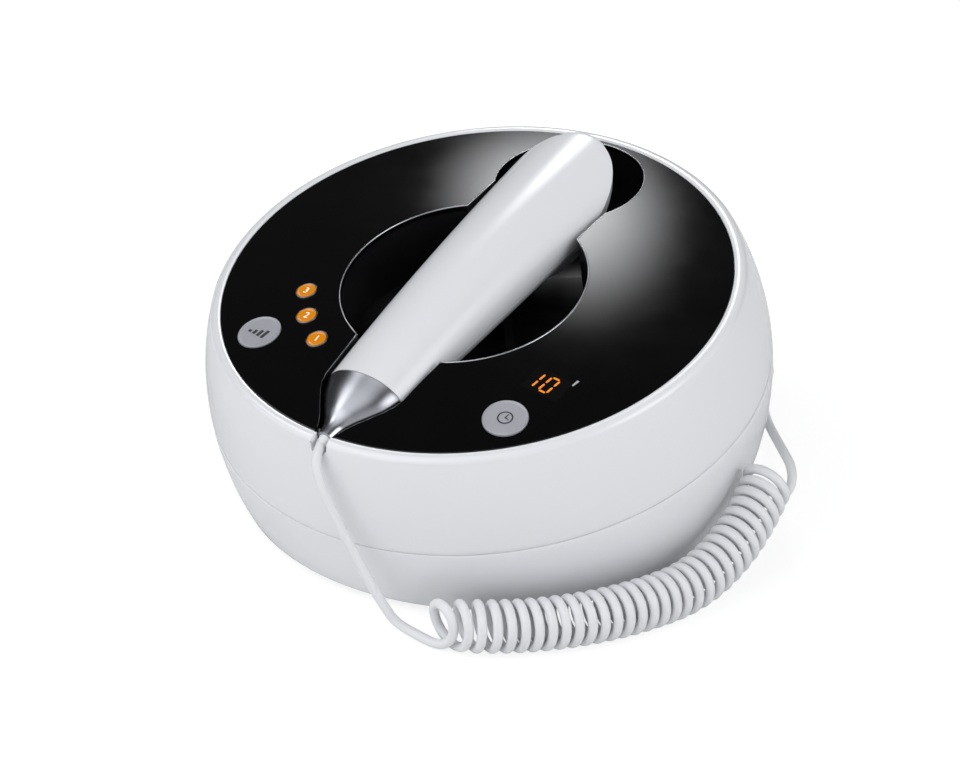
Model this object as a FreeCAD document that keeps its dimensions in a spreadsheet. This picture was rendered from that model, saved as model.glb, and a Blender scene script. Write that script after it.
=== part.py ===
import FreeCAD, Part
import Sketcher
import bisect
import math
import os
import re

# A table-top treatment machine with a handpiece in a cradle. Millimetres and degrees.
# The frame: +Z up, origin on the table under the housing's axis, -Y the front, where the
# cord leaves the handpiece, +X the right side.

document = FreeCAD.newDocument("beauty_machine")
sheet = document.addObject("Spreadsheet::Sheet", "sizes")

SIZES = {
    # housing: two arcs that meet at the belly
    "belly_radius": 116.0,
    "belly_height": 57.0,
    "lower_arc": 120.0,
    "upper_arc": 110.0,
    "wall": 2.6,
    "foot_lift": 2.0,
    "base_round": 3.0,
    "rim_tilt": 12.0,
    "rim_height": 99.6,
    "rim_round": 2.2,
    "seam_height": 56.6,
    "seam_gap": 0.3,
    "cut_span": 420.0,
    "overrun": 20.0,
    # top plate, seated on a ledge inside the rim
    "rim_band": 12.5,
    "plate_gap": 0.2,
    "plate_thickness": 2.6,
    "dome_rise": 7.3,
    "ledge_width": 4.0,
    "ledge_thickness": 2.5,
    "seat_gap": 0.1,
    # keyhole in the plate and the tray below it
    "recess_shift": 7.5,
    "recess_depth": 24.0,
    "well_radius": 31.0,
    "well_margin": 2.0,
    "well_depth": 34.0,
    "rear_slot_half": 27.0,
    "trough_depth": 13.8,
    "trough_side_gap": 0.9,
    "trough_stop": 24.5,
    "trumpet_stop": 1.0,
    "notch_half": 5.2,
    "notch_drop": 3.0,
    "tray_wall": 2.0,
    "neck_stop": 6.0,
    "saddle_half": 13.0,
    "saddle_length": 6.0,
    "rest_gap": 0.3,
    # handpiece: oval sections along its length, measured from the plate's centre
    "grip_wall": 2.0,
    "tail_back": 27.5,
    "tail_half_width": 17.7,
    "tail_half_height": 11.0,
    "tail_level": -1.4,
    "mid_half_width": 22.0,
    "mid_half_height": 15.7,
    "mid_level": 1.0,
    "head_step": 10.1,
    "head_half_width": 25.1,
    "head_half_height": 15.7,
    "head_level": 1.5,
    "tip_step": 50.1,
    "tip_half_width": 27.1,
    "tip_half_height": 14.0,
    "tip_level": 1.5,
    "head_cut_back": 20.6,
    "head_cut_slope": 24.15,
    "parting_level": -1.0,
    "parting_gap": 0.1,
    # tail cone, a trumpet from the oval joint to the round cord end
    "cone_gap": 0.15,
    "cone_flank_step": 8.4,
    "cone_flank_width": 14.3,
    "cone_flank_height": 9.2,
    "cone_waist_step": 16.0,
    "cone_waist_width": 9.3,
    "cone_waist_height": 7.2,
    "cone_neck_step": 21.5,
    "cone_neck_width": 5.7,
    "cone_neck_height": 5.2,
    "cone_length": 27.5,
    "cone_end_radius": 4.0,
    "cone_end_level": -3.0,
    "grommet_radius": 3.2,
    "grommet_length": 2.5,
    # slanted treatment head
    "collar_inset": 1.2,
    "collar_half_length": 35.5,
    "collar_taper": 4.0,
    "collar_height": 7.0,
    "carrier_inset": 3.0,
    "carrier_height": 1.5,
    "electrode_radius": 4.6,
    "electrode_ball": 8.0,
    "electrode_height": 2.2,
    "electrode_side": 8.5,
    "electrode_along": 11.0,
    # board inside the handpiece
    "grip_board_width": 16.0,
    "grip_board_back": 16.0,
    "grip_board_level": -4.2,
    "grip_post_radius": 3.2,
    "grip_screw_radius": 1.2,
    "grip_screw_head": 2.6,
    "grip_screw_head_height": 1.4,
    "grip_screw_length": 6.0,
    "grip_post_back": 26.0,
    "grip_post_stop": 35.9,
    "board_thickness": 1.6,
    "screw_gap": 0.1,
    # push buttons and their tact switches
    "button_edge": 14.375,
    "button_angle": 48.5476,
    "button_radius": 8.9,
    "button_gap": 0.3,
    "button_proud": 0.5,
    "button_flange": 9.8,
    "button_flange_top": 2.5,
    "button_flange_height": 1.4,
    "button_post": 2.5,
    "button_post_end": 6.0,
    "panel_board_drop": 11.0,
    "panel_board_inset": 6.0,
    "panel_board_margin": 8.35,
    "panel_board_from_angle": 23.0,
    "panel_board_to_angle": 66.0,
    "panel_post_radius": 2.5,
    "panel_post_inset": 4.5,
    "panel_post_edge": 4.0,
    "panel_post_inner_angle": 30.0,
    "panel_post_low_angle": 29.0,
    "panel_post_high_angle": 63.0,
    "switch_side": 6.0,
    "switch_height": 3.5,
    "plunger_radius": 1.75,
    "plunger_gap": 0.15,
    "plunger_depth": 1.0,
    "switch_hole_depth": 2.3,
    # level lamps on an arc between the recess and the button
    "lamp_offset": 1.62,
    "lamp_first_angle": 29.7,
    "lamp_step_angle": 14.35,
    "lamp_radius": 3.9,
    "lamp_gap": 0.1,
    "lamp_proud": 0.35,
    "bezel_width": 0.55,
    "bezel_proud": 0.5,
    "lamp_depth": 3.0,
    "led_radius": 2.5,
    "led_height": 5.0,
    # time display
    "display_edge": 26.33,
    "display_angle": 34.76,
    "display_turn": -3.0,
    "display_width": 17.0,
    "display_height": 12.5,
    "display_gap": 0.1,
    "lens_depth": 1.0,
    "module_height": 8.0,
    "module_inset": 1.0,
    "header_inset": 3.0,
    # feet, screw towers and screws
    "foot_radius": 8.0,
    "foot_inset": 34.0,
    "foot_recess": 1.0,
    "foot_gap": 0.1,
    "tower_inset": 28.32,
    "tower_radius": 4.6,
    "tower_rib": 2.4,
    "tower_cap": 6.0,
    "case_screw_radius": 1.5,
    "case_screw_head": 2.8,
    "case_screw_head_height": 2.0,
    # main board
    "board_lift": 12.0,
    "board_length": 120.0,
    "board_width": 84.0,
    "board_post_inset": 8.0,
    "board_post_radius": 4.0,
    "board_screw_radius": 1.4,
    "board_screw_head": 3.0,
    "board_screw_head_height": 1.8,
    "board_screw_length": 7.0,
    "core_length": 38.0,
    "core_width": 26.0,
    "core_height": 30.0,
    "core_leg": 7.0,
    "winding_gap": 0.5,
    "core_x": -28.0,
    "core_y": 4.0,
    "sink_length": 40.0,
    "sink_base": 4.0,
    "sink_height": 26.0,
    "sink_fin_length": 16.0,
    "sink_fin": 2.0,
    "sink_x": 8.0,
    "sink_y": 14.0,
    "transistor_width": 10.0,
    "transistor_depth": 4.5,
    "transistor_height": 16.0,
    "transistor_place": 10.0,
    "capacitor_radius": 6.0,
    "capacitor_height": 22.0,
    "capacitor_x": 16.0,
    "capacitor_y": -24.0,
    "capacitor_step": 15.0,
    "capacitor_round": 1.0,
    "buzzer_radius": 6.0,
    "buzzer_height": 8.0,
    "buzzer_hole": 1.2,
    "buzzer_x": -22.0,
    "buzzer_y": -28.0,
    # flat at the rear with the inlet and the power switch
    "rear_inset": 8.0,
    "rear_block_half": 36.0,
    "rear_block_depth": 4.0,
    "rear_block_low": 12.0,
    "rear_block_high": 46.0,
    "rear_level": 29.0,
    "inlet_x": -15.0,
    "inlet_flange": 7.0,
    "inlet_flange_thickness": 1.5,
    "inlet_barrel": 5.0,
    "inlet_length": 11.0,
    "inlet_bore": 3.0,
    "inlet_bore_depth": 9.5,
    "inlet_pin": 1.0,
    "rear_fit_gap": 0.15,
    "switch_x": 15.0,
    "switch_flange_width": 13.0,
    "switch_flange_height": 19.0,
    "switch_body_width": 10.6,
    "switch_body_height": 16.6,
    "switch_body_depth": 12.0,
    "rocker_radius": 7.0,
    "rocker_width": 7.8,
    "rocker_gap": 0.35,
    "rocker_sink": 3.0,
    "rocker_face": 1.6,
    "rocker_angle": 10.0,
    # cord and its gland
    "cord_diameter": 3.9,
    "cord_joint_gap": 0.3,
    "gland_bearing": 66.0,
    "gland_level": 18.0,
    "gland_radius": 4.5,
    "gland_tip_radius": 3.0,
    "gland_inside": 8.0,
    "gland_neck": 2.0,
    "gland_taper": 13.0,
    "coil_mean_radius": 8.8,
    "coil_clear": 9.0,
    "coil_start_bearing": -63.5,
    "coil_end_bearing": 6.0,
    "coil_floor_gap": 0.15,
    "coil_climb": 26.0,
    "coil_climb_out": 1.0,
    "coil_least_pitch": 4.42,
    "coil_fan_pitch": 4.2,
    "coil_first_lean": 62.0,
    "coil_start_phase": -100.0,
    "coil_end_phase": -90.0,
    "coil_lead": 11.0,
    "coil_end_stub": 0.6,
    "return_lead": 5.6,
    "gland_lead": 8.0,
}
PLATE_SHIFT_share = 0.082759
RECESS_share = 0.483092
TOWER_share = 0.372093
GRIP_BOARD_share = 0.667196
# Sizes that follow from others and a clearance
DERIVED = {
    "plate_shift": "belly_radius * %f" % PLATE_SHIFT_share,
    "plate_radius": "belly_radius - rim_band",
    "recess_radius": "plate_radius * %f" % RECESS_share,
    "well_shift": "plate_radius - well_radius - well_margin",
    "trough_front": "plate_radius - trough_stop",
    "trumpet_end": "plate_radius - trumpet_stop",
    "neck_end": "plate_radius - neck_stop",
    "tail_station": "plate_radius - tail_back",
    "head_cut_station": "well_shift - head_cut_back",
    "head_station": "head_cut_station + head_step",
    "tip_station": "head_cut_station + tip_step",
    "cone_flank_station": "tail_station + cone_flank_step",
    "cone_waist_station": "tail_station + cone_waist_step",
    "cone_neck_station": "tail_station + cone_neck_step",
    "cone_end_station": "tail_station + cone_length",
    "grip_board_start": "tail_station - grip_board_back",
    "grip_board_length": "(tail_station + head_cut_station) * %f" % GRIP_BOARD_share,
    "grip_post_first": "tail_station - grip_post_back",
    "grip_post_second": "head_cut_station - grip_post_stop",
    "button_side": "(plate_radius - button_edge) * cos(button_angle)",
    "button_front": "(plate_radius - button_edge) * sin(button_angle)",
    "button_ring": "sqrt(button_side^2 + (button_front - recess_shift)^2)",
    "lamp_ring": "(recess_radius + button_ring - button_radius) / 2 + lamp_offset",
    "display_side": "(plate_radius - display_edge) * cos(display_angle)",
    "display_front": "(plate_radius - display_edge) * sin(display_angle)",
    "panel_board_inner": "recess_radius + panel_board_inset",
    "panel_board_outer": "button_ring + panel_board_margin",
    "foot_ring": "belly_radius - foot_inset",
    "tower_rise": "(rim_height - seam_height) * %f" % TOWER_share,
    "case_screw_bite": "tower_rise - tower_cap",
    "tower_place": "(belly_radius - tower_inset) * sqrt(0.5)",
    "board_post_x": "board_length / 2 - board_post_inset",
    "board_post_y": "board_width / 2 - board_post_inset",
    "rear_flat": "belly_radius - rear_inset",
    "coil_ring": "belly_radius + coil_clear",
}
COIL_FAN_TURNS = 5.0
COIL_CLIMB_FROM_share = 0.62
COIL_TILT_share = 0.5
RUN_share = 0.45

for row, (alias, value) in enumerate(SIZES.items(), 1):
    sheet.set("A%d" % row, alias)
    sheet.set("B%d" % row, str(value))
    sheet.setAlias("B%d" % row, alias)
document.recompute()
ruler = document.addObject("Part::Vertex", "ruler")


def cell(word):
    """A size's cell, or the sum of cells that a derived size stands for."""
    name = word.group()
    if name in DERIVED:
        return "(" + bound(DERIVED[name]) + ")"
    return "sizes." + name if name in SIZES else name


def bound(words):
    """The expression in which each size's name points at its cell."""
    return re.sub(r"[a-z_][a-z0-9_]*", cell, words)


def mm(words):
    """The value of an expression of sizes."""
    return float(ruler.evalExpression(bound(words)))


def vector(x, y, z):
    return FreeCAD.Vector(x, y, z)


def frame(place, turn=0.0, axis=(1, 0, 0)):
    return FreeCAD.Placement(place, FreeCAD.Rotation(vector(*axis), turn))


ORIGIN = frame(vector(0, 0, 0))
PLATE = frame(vector(0, -mm("plate_shift"), mm("rim_height - plate_shift * tan(rim_tilt)")), mm("rim_tilt"))
SEAM = frame(vector(0, 0, mm("seam_height")), mm("rim_tilt"))


def new(kind, name, place=ORIGIN, **expressions):
    """A document object whose properties are bound to the sheet."""
    item = document.addObject(kind, name)
    for key, words in expressions.items():
        item.setExpression(key, bound(words))
    item.Placement = place
    return item


def cylinder(name, radius, height, place=ORIGIN):
    return new("Part::Cylinder", name, place, Radius=radius, Height=height)


def cone(name, radius, far_radius, height, place=ORIGIN):
    return new("Part::Cone", name, place, Radius1=radius, Radius2=far_radius, Height=height)


def ball(name, radius, place=ORIGIN):
    return new("Part::Sphere", name, place, Radius=radius)


def box(name, length, width, height, place=ORIGIN):
    """A box centred on its frame in X and Y, standing on it in Z."""
    corner = vector(-mm(length) / 2, -mm(width) / 2, 0)
    return new("Part::Box", name, place.multiply(frame(corner)), Length=length, Width=width, Height=height)


def joined(name, pieces):
    item = document.addObject("Part::MultiFuse", name)
    item.Shapes = pieces
    return item


def cut(name, base, *tools):
    item = document.addObject("Part::Cut", name)
    item.Base = base
    item.Tool = tools[0] if len(tools) == 1 else joined(name + "_tools", list(tools))
    return item


def common(name, base, tool):
    item = document.addObject("Part::Common", name)
    item.Base = base
    item.Tool = tool
    return item


def group(name, pieces):
    """Separate solids that share one node."""
    item = document.addObject("Part::Compound", name)
    item.Links = pieces
    return item


def half_space(name, place):
    """All that lies on the +Z side of a frame."""
    return box(name, "cut_span", "cut_span", "cut_span", place)


def oval(name, half_width, half_height, place):
    return new("Part::Ellipse", name, place, MajorRadius=half_width, MinorRadius=half_height)


def loft(name, sections):
    item = document.addObject("Part::Loft", name)
    item.Sections = sections
    item.Solid = True
    return item


def local(x, y, z, turn=0.0, axis=(0, 0, 1)):
    """A frame at a place given by three expressions."""
    return frame(vector(mm(x), mm(y), mm(z)), turn, axis)


def start_sketch(body, name, role):
    plane = next(item for item in body.Origin.OriginFeatures if item.Role == role)
    sketch = body.newObject("Sketcher::SketchObject", name)
    sketch.AttachmentSupport = [(plane, "")]
    sketch.MapMode = "FlatFace"
    return sketch


def pin_point(sketch, edge, end, x, y):
    """Tie one point of a sketch to two expressions."""
    for kind, words in (("DistanceX", x), ("DistanceY", y)):
        place = sketch.addConstraint(Sketcher.Constraint(kind, -1, 1, edge, end, mm(words)))
        sketch.setExpression("Constraints[%d]" % place, bound(words))


def size_round(sketch, edge, radius):
    place = sketch.addConstraint(Sketcher.Constraint("Radius", edge, mm(radius)))
    sketch.setExpression("Constraints[%d]" % place, bound(radius))


def outline(sketch, corners, rounds=None):
    """A closed outline. rounds gives an edge's radius and +1 to bulge right of its way, -1 left."""
    rounds = rounds or {}
    points = [vector(mm(x), mm(y), 0) for x, y in corners]
    edges = []
    for number, start in enumerate(points):
        finish = points[(number + 1) % len(points)]
        if number not in rounds:
            edges.append((sketch.addGeometry(Part.LineSegment(start, finish), False), 1, 2))
            continue
        radius, side = rounds[number]
        half = start.distanceToPoint(finish) / 2
        rise = mm(radius) - math.sqrt(mm(radius) ** 2 - half ** 2)
        along = (finish - start).normalize()
        middle = (start + finish) * 0.5 + vector(along.y, -along.x, 0) * (rise * side)
        if side > 0:
            edges.append((sketch.addGeometry(Part.Arc(start, middle, finish), False), 1, 2))
        else:
            edges.append((sketch.addGeometry(Part.Arc(finish, middle, start), False), 2, 1))
        size_round(sketch, edges[-1][0], radius)
    for number, (edge, first, last) in enumerate(edges):
        before = edges[number - 1]
        sketch.addConstraint(Sketcher.Constraint("Coincident", before[0], before[2], edge, first))
        pin_point(sketch, edge, first, *corners[number])


def ring_outline(sketch, radius, x="0", y="0"):
    centre = vector(mm(x), mm(y), 0)
    edge = sketch.addGeometry(Part.Circle(centre, vector(0, 0, 1), mm(radius)), False)
    size_round(sketch, edge, radius)
    pin_point(sketch, edge, 3, x, y)


def revolve(body, sketch, name):
    item = body.newObject("PartDesign::Revolution", name)
    item.Profile = sketch
    item.ReferenceAxis = (sketch, ["V_Axis"])
    item.Angle = 360
    return item


def pocket(body, sketch, name):
    item = body.newObject("PartDesign::Pocket", name)
    item.Profile = sketch
    item.Type = "ThroughAll"
    item.SideType = "Symmetric"
    return item


def pad(body, sketch, name, length):
    item = body.newObject("PartDesign::Pad", name)
    item.Profile = sketch
    item.setExpression("Length", bound(length))
    return item


def new_body(name):
    return document.addObject("PartDesign::Body", name)


NODES = {}


def node(name, item, place=None):
    """Names a finished sub-part and puts it in its place."""
    item.Label = name
    if place is not None:
        item.Placement = place
    NODES[name] = item
    return item


# The housing's outer and inner forms, each a revolve of two arcs that meet at the belly
CROWN = "rim_height + belly_radius * tan(rim_tilt) + overrun / 4"


def arc_radius(height, arc, inset):
    return "belly_radius - %s + sqrt((%s - %s)^2 - (belly_height - (%s))^2)" % (arc, arc, inset, height)


def bulged_form(name, floor, inset):
    body = new_body(name)
    sketch = start_sketch(body, name + "_profile", "XZ_Plane")
    corners = [
        ("0", floor),
        (arc_radius(floor, "lower_arc", inset), floor),
        ("belly_radius - " + inset, "belly_height"),
        (arc_radius(CROWN, "upper_arc", inset), CROWN),
        ("0", CROWN),
    ]
    outline(sketch, corners, {1: ("lower_arc - " + inset, 1), 2: ("upper_arc - " + inset, 1)})
    revolve(body, sketch, name + "_revolve")
    document.recompute()
    return body


def housing_form(name):
    body = bulged_form(name, "foot_lift", "0")
    whole = body.Tip
    edges = ["Edge%d" % (number + 1) for number, edge in enumerate(whole.Shape.Edges)
             if edge.BoundBox.ZMax < mm("foot_lift + wall") and edge.BoundBox.XLength > mm("belly_radius")]
    item = body.newObject("PartDesign::Fillet", name + "_base_round")
    item.Base = (whole, edges)
    item.setExpression("Radius", bound("base_round"))
    document.recompute()
    return body


def flipped(place):
    return place.multiply(frame(vector(0, 0, 0), 180))


def lifted(place, words):
    return place.multiply(frame(vector(0, 0, mm(words))))


housing = housing_form("housing_form")
hollow = bulged_form("hollow_form", "foot_lift + wall", "wall")

# Lower casing: the bowl under the slanted seam, with screw towers, board posts and a rear block
lower_block = cut("lower_block", housing, half_space("over_seam", lifted(SEAM, "-seam_gap / 2")))
lower_shell = cut("lower_shell", lower_block, hollow)

CORNERS = [(1, 1), (-1, 1), (-1, -1), (1, -1)]
fittings = []
bores = []
case_screws = []
board_screws = []
SCREW_TOP = "foot_lift + wall"
for number, (side, fore) in enumerate(CORNERS):
    tower_at = vector(side * mm("tower_place"), fore * mm("tower_place"), 0)
    seam_at = "seam_height + %d * tower_place * tan(rim_tilt)" % fore
    fittings.append(cylinder("tower_%d" % number, "tower_radius", seam_at + " + overrun", frame(tower_at)))
    bores.append(cylinder("tower_bore_%d" % number, "case_screw_radius + screw_gap",
                          seam_at + " + overrun", frame(tower_at)))
    bores.append(cylinder("tower_head_bore_%d" % number, "case_screw_head + screw_gap",
                          SCREW_TOP + " + case_screw_head_height", frame(tower_at)))
    shank = cylinder("case_screw_shank_%d" % number, "case_screw_radius",
                     seam_at + " + case_screw_bite - foot_lift - wall",
                     frame(tower_at + vector(0, 0, mm(SCREW_TOP))))
    cap = cylinder("case_screw_cap_%d" % number, "case_screw_head", "case_screw_head_height",
                   frame(tower_at + vector(0, 0, mm(SCREW_TOP))))
    case_screws.append(joined("case_screw_%d" % number, [shank, cap]))
    post_at = vector(side * mm("board_post_x"), fore * mm("board_post_y"), mm("foot_lift + wall / 2"))
    fittings.append(cylinder("board_post_%d" % number, "board_post_radius",
                             "board_lift - foot_lift - wall / 2", frame(post_at)))
    screw_at = vector(post_at.x, post_at.y, mm("board_lift + board_thickness - board_screw_length"))
    bores.append(cylinder("board_post_bore_%d" % number, "board_screw_radius + screw_gap",
                          "board_screw_length + overrun", frame(screw_at)))
    shank = cylinder("board_screw_shank_%d" % number, "board_screw_radius", "board_screw_length",
                     frame(screw_at))
    cap = cylinder("board_screw_cap_%d" % number, "board_screw_head", "board_screw_head_height",
                   frame(screw_at + vector(0, 0, mm("board_screw_length"))))
    board_screws.append(joined("board_screw_%d" % number, [shank, cap]))

feet = []
for number in range(4):
    turn = math.radians(90 * number)
    foot_at = vector(math.cos(turn), math.sin(turn), 0) * mm("foot_ring")
    feet.append(cylinder("foot_%d" % number, "foot_radius", "foot_lift + foot_recess - foot_gap",
                         frame(foot_at)))
    bores.append(cylinder("foot_bore_%d" % number, "foot_radius + foot_gap", "foot_lift + foot_recess",
                          frame(foot_at)))

# The rear block backs a flat, where the inlet and the power switch sit
REAR = frame(vector(0, mm("rear_flat"), mm("rear_level")), -90)
block_at = vector(0, mm("rear_flat"), mm("rear_block_low"))
fittings.append(box("rear_block", "2 * rear_block_half", "2 * rear_block_depth",
                    "rear_block_high - rear_block_low", frame(block_at)))
flat_at = block_at + vector(0, mm("overrun"), 0)
bores.append(box("rear_flat_cut", "2 * rear_block_half", "2 * overrun",
                 "rear_block_high - rear_block_low", frame(flat_at)))


def rear_frame(x, out):
    """A frame on the rear flat, +Z out of the housing, local Y down."""
    return REAR.multiply(frame(vector(mm(x), 0, mm(out))))


bores.append(cylinder("inlet_hole", "inlet_barrel + rear_fit_gap", "2 * overrun",
                      rear_frame("inlet_x", "-overrun")))
bores.append(box("switch_hole", "switch_body_width + 2 * rear_fit_gap",
                 "switch_body_height + 2 * rear_fit_gap", "2 * overrun", rear_frame("switch_x", "-overrun")))

# The cord's gland points straight out of the side of the bowl
bearing = math.radians(mm("gland_bearing"))
GLAND_OUT = vector(math.cos(bearing), math.sin(bearing), 0)
gland_seat = mm(arc_radius("gland_level", "lower_arc", "0"))


def gland_frame(distance):
    turned = FreeCAD.Rotation(vector(0, 0, 1), GLAND_OUT)
    return FreeCAD.Placement(GLAND_OUT * (gland_seat + distance) + vector(0, 0, mm("gland_level")), turned)


bores.append(cylinder("gland_hole", "gland_radius + rear_fit_gap", "2 * overrun",
                      gland_frame(-mm("overrun"))))

lower_fittings = common("lower_fittings", joined("lower_fittings_all", fittings), lower_block)
lower_whole = joined("lower_whole", [lower_shell, lower_fittings])
node("lower_casing", cut("lower_casing", lower_whole, *bores))
node("case_screws", group("case_screws", case_screws))
node("board_screws", group("board_screws", board_screws))
node("rubber_feet", group("rubber_feet", feet))

# Upper casing: the ring between seam and rim, with a rounded rim, the plate's ledge and screw posts
rim_cut = cut("rim_cut", housing, half_space("over_rim", PLATE))
upper_block = cut("upper_block", rim_cut, half_space("under_seam", flipped(lifted(SEAM, "seam_gap / 2"))))
document.recompute()


def on_rim(edge):
    points = [PLATE.inverse().multVec(edge.valueAt(at)) for at in edge.ParameterRange]
    return all(abs(point.z) < mm("seat_gap") for point in points)


rim_edges = [number + 1 for number, edge in enumerate(upper_block.Shape.Edges) if on_rim(edge)]
upper_round = document.addObject("Part::Fillet", "upper_round")
upper_round.Base = upper_block
upper_round.Edges = [(number, mm("rim_round"), mm("rim_round")) for number in rim_edges]

LEDGE_TOP = "-plate_thickness - seat_gap"
LEDGE_UNDER = "-plate_thickness - seat_gap - ledge_thickness"
hollow_under = cut("hollow_under", hollow, half_space("over_ledge", lifted(PLATE, LEDGE_UNDER)))


def on_plate(x, y, z):
    """A frame in the plate's own axes, at a place given by three expressions."""
    return PLATE.multiply(local(x, y, z))


plate_seat = cylinder("plate_seat", "plate_radius + plate_gap", "overrun", on_plate("0", "0", LEDGE_TOP))
plate_mouth = cylinder("plate_mouth", "plate_radius - ledge_width", "2 * overrun",
                       on_plate("0", "0", "-overrun"))
well_room = cylinder("well_room", "well_radius + tray_wall + plate_gap", "well_depth + overrun",
                     on_plate("0", "well_shift", "-well_depth - tray_wall - plate_gap"))
notch_round = cylinder("notch_round", "notch_half", "2 * overrun",
                       on_plate("0", "-plate_radius", "-notch_drop")
                       .multiply(frame(vector(0, mm("overrun"), 0), 90)))
notch_slot = box("notch_slot", "2 * notch_half", "2 * overrun", "overrun",
                 on_plate("0", "-plate_radius", "-notch_drop"))

posts = []
post_bores = []
for number, (side, fore) in enumerate(CORNERS):
    tower_at = vector(side * mm("tower_place"), fore * mm("tower_place"), 0)
    seam_at = "seam_height + %d * tower_place * tan(rim_tilt)" % fore
    outward = math.degrees(math.atan2(tower_at.y, tower_at.x))
    low = tower_at + vector(0, 0, mm(seam_at + " - overrun"))
    posts.append(cylinder("upper_post_%d" % number, "tower_radius", "tower_rise + overrun", frame(low)))
    rib_at = frame(low, outward, (0, 0, 1)).multiply(local("belly_radius / 4", "0", "0"))
    posts.append(box("upper_rib_%d" % number, "belly_radius / 2", "tower_rib", "tower_rise + overrun",
                     rib_at))
    post_bores.append(cylinder("upper_post_bore_%d" % number, "case_screw_radius + screw_gap",
                               "case_screw_bite + overrun + screw_gap", frame(low)))
upper_posts = common("upper_posts", joined("upper_posts_all", posts), upper_block)
upper_shell = cut("upper_shell", upper_round, hollow_under, plate_seat, plate_mouth)
upper_whole = joined("upper_whole", [upper_shell, upper_posts])
node("upper_casing", cut("upper_casing", upper_whole, well_room, notch_round, notch_slot, *post_bores))

# Top plate: a shallow dome of even thickness with the keyhole, built flat in its own frame
DOME = "(plate_radius^2 + dome_rise^2) / (2 * dome_rise)"
DOME_CENTRE = local("0", "0", "dome_rise - " + DOME)


def under_dome(name, item, proud):
    """Trims a piece to a surface that runs level with the plate's dome."""
    return common(name, item, ball(name + "_dome", DOME + " + " + proud, DOME_CENTRE))


plate_body = new_body("plate_form")
profile = start_sketch(plate_body, "plate_profile", "XZ_Plane")
EDGE_UNDER = "dome_rise - %s + sqrt((%s - plate_thickness)^2 - plate_radius^2)" % (DOME, DOME)
outline(profile, [("0", "dome_rise - plate_thickness"), ("plate_radius", EDGE_UNDER), ("plate_radius", "0"),
                  ("0", "dome_rise")], {0: (DOME + " - plate_thickness", -1), 2: (DOME, 1)})
revolve(plate_body, profile, "plate_revolve")

recess_sketch = start_sketch(plate_body, "recess_outline", "XY_Plane")
ring_outline(recess_sketch, "recess_radius", "0", "-recess_shift")
pocket(plate_body, recess_sketch, "recess_opening")

well_sketch = start_sketch(plate_body, "well_outline", "XY_Plane")
ring_outline(well_sketch, "well_radius", "0", "well_shift")
pocket(plate_body, well_sketch, "well_opening")

SLOT_SLOPE = "((mid_half_width - tail_half_width) / tail_station)"
SLOT_FRONT = "(mid_half_width + trough_side_gap - trough_front * %s)" % SLOT_SLOPE
SLOT_REAR = "(mid_half_width + trough_side_gap - recess_shift * %s)" % SLOT_SLOPE
slot_sketch = start_sketch(plate_body, "slot_outline", "XY_Plane")
outline(slot_sketch, [
    ("notch_half", "-plate_radius - overrun"),
    ("notch_half", "-trumpet_end"),
    (SLOT_FRONT, "-trough_front"),
    (SLOT_REAR, "-recess_shift"),
    ("rear_slot_half", "-recess_shift"),
    ("rear_slot_half", "well_shift"),
    ("-rear_slot_half", "well_shift"),
    ("-rear_slot_half", "-recess_shift"),
    ("-" + SLOT_REAR, "-recess_shift"),
    ("-" + SLOT_FRONT, "-trough_front"),
    ("-notch_half", "-trumpet_end"),
    ("-notch_half", "-plate_radius - overrun"),
])
pocket(plate_body, slot_sketch, "slot_opening")
document.recompute()

# Places on the plate: buttons, lamps and the display, by polar angle round the recess
LAMPS = []
for number in range(3):
    turn = "(180 + lamp_first_angle + %d * lamp_step_angle)" % number
    LAMPS.append(("lamp_ring * cos(%s)" % turn, "lamp_ring * sin(%s) - recess_shift" % turn))
LAMPS.reverse()
BUTTONS = {"level": ("-button_side", "-button_front"), "time": ("button_side", "-button_front")}
DISPLAY = ("display_side", "-display_front")

plate_holes = []
for name, (x, y) in BUTTONS.items():
    plate_holes.append(cylinder(name + "_button_hole", "button_radius + button_gap", "2 * overrun",
                                local(x, y, "-overrun")))
for number, (x, y) in enumerate(LAMPS, 1):
    plate_holes.append(cylinder("lamp_hole_%d" % number, "lamp_radius + 2 * lamp_gap + bezel_width",
                                "2 * overrun", local(x, y, "-overrun")))


def display_frame(z):
    return local(*DISPLAY, z, mm("display_turn"))


plate_holes.append(box("display_hole", "display_width + 2 * display_gap", "display_height + 2 * display_gap",
                       "2 * overrun", display_frame("-overrun")))

# Panel boards hang on short posts under the plate, one on each side of the trough
panel_posts = []
for side in (-1, 1):
    for reach, turn in (("panel_board_inner + panel_post_inset", "panel_post_inner_angle"),
                        ("panel_board_outer - panel_post_edge", "panel_post_low_angle"),
                        ("panel_board_outer - panel_post_edge", "panel_post_high_angle")):
        x = "%d * (%s) * cos(%s)" % (side, reach, turn)
        y = "-(%s) * sin(%s) - recess_shift" % (reach, turn)
        panel_posts.append(cylinder("panel_post_%d" % len(panel_posts), "panel_post_radius",
                                    "panel_board_drop + overrun", local(x, y, "-panel_board_drop")))
plate_posts = under_dome("plate_posts", joined("plate_posts_all", panel_posts), "(-plate_thickness / 2)")
plate_whole = joined("plate_whole", [plate_body, plate_posts])
node("top_plate", cut("top_plate", plate_whole, *plate_holes), PLATE)


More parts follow.
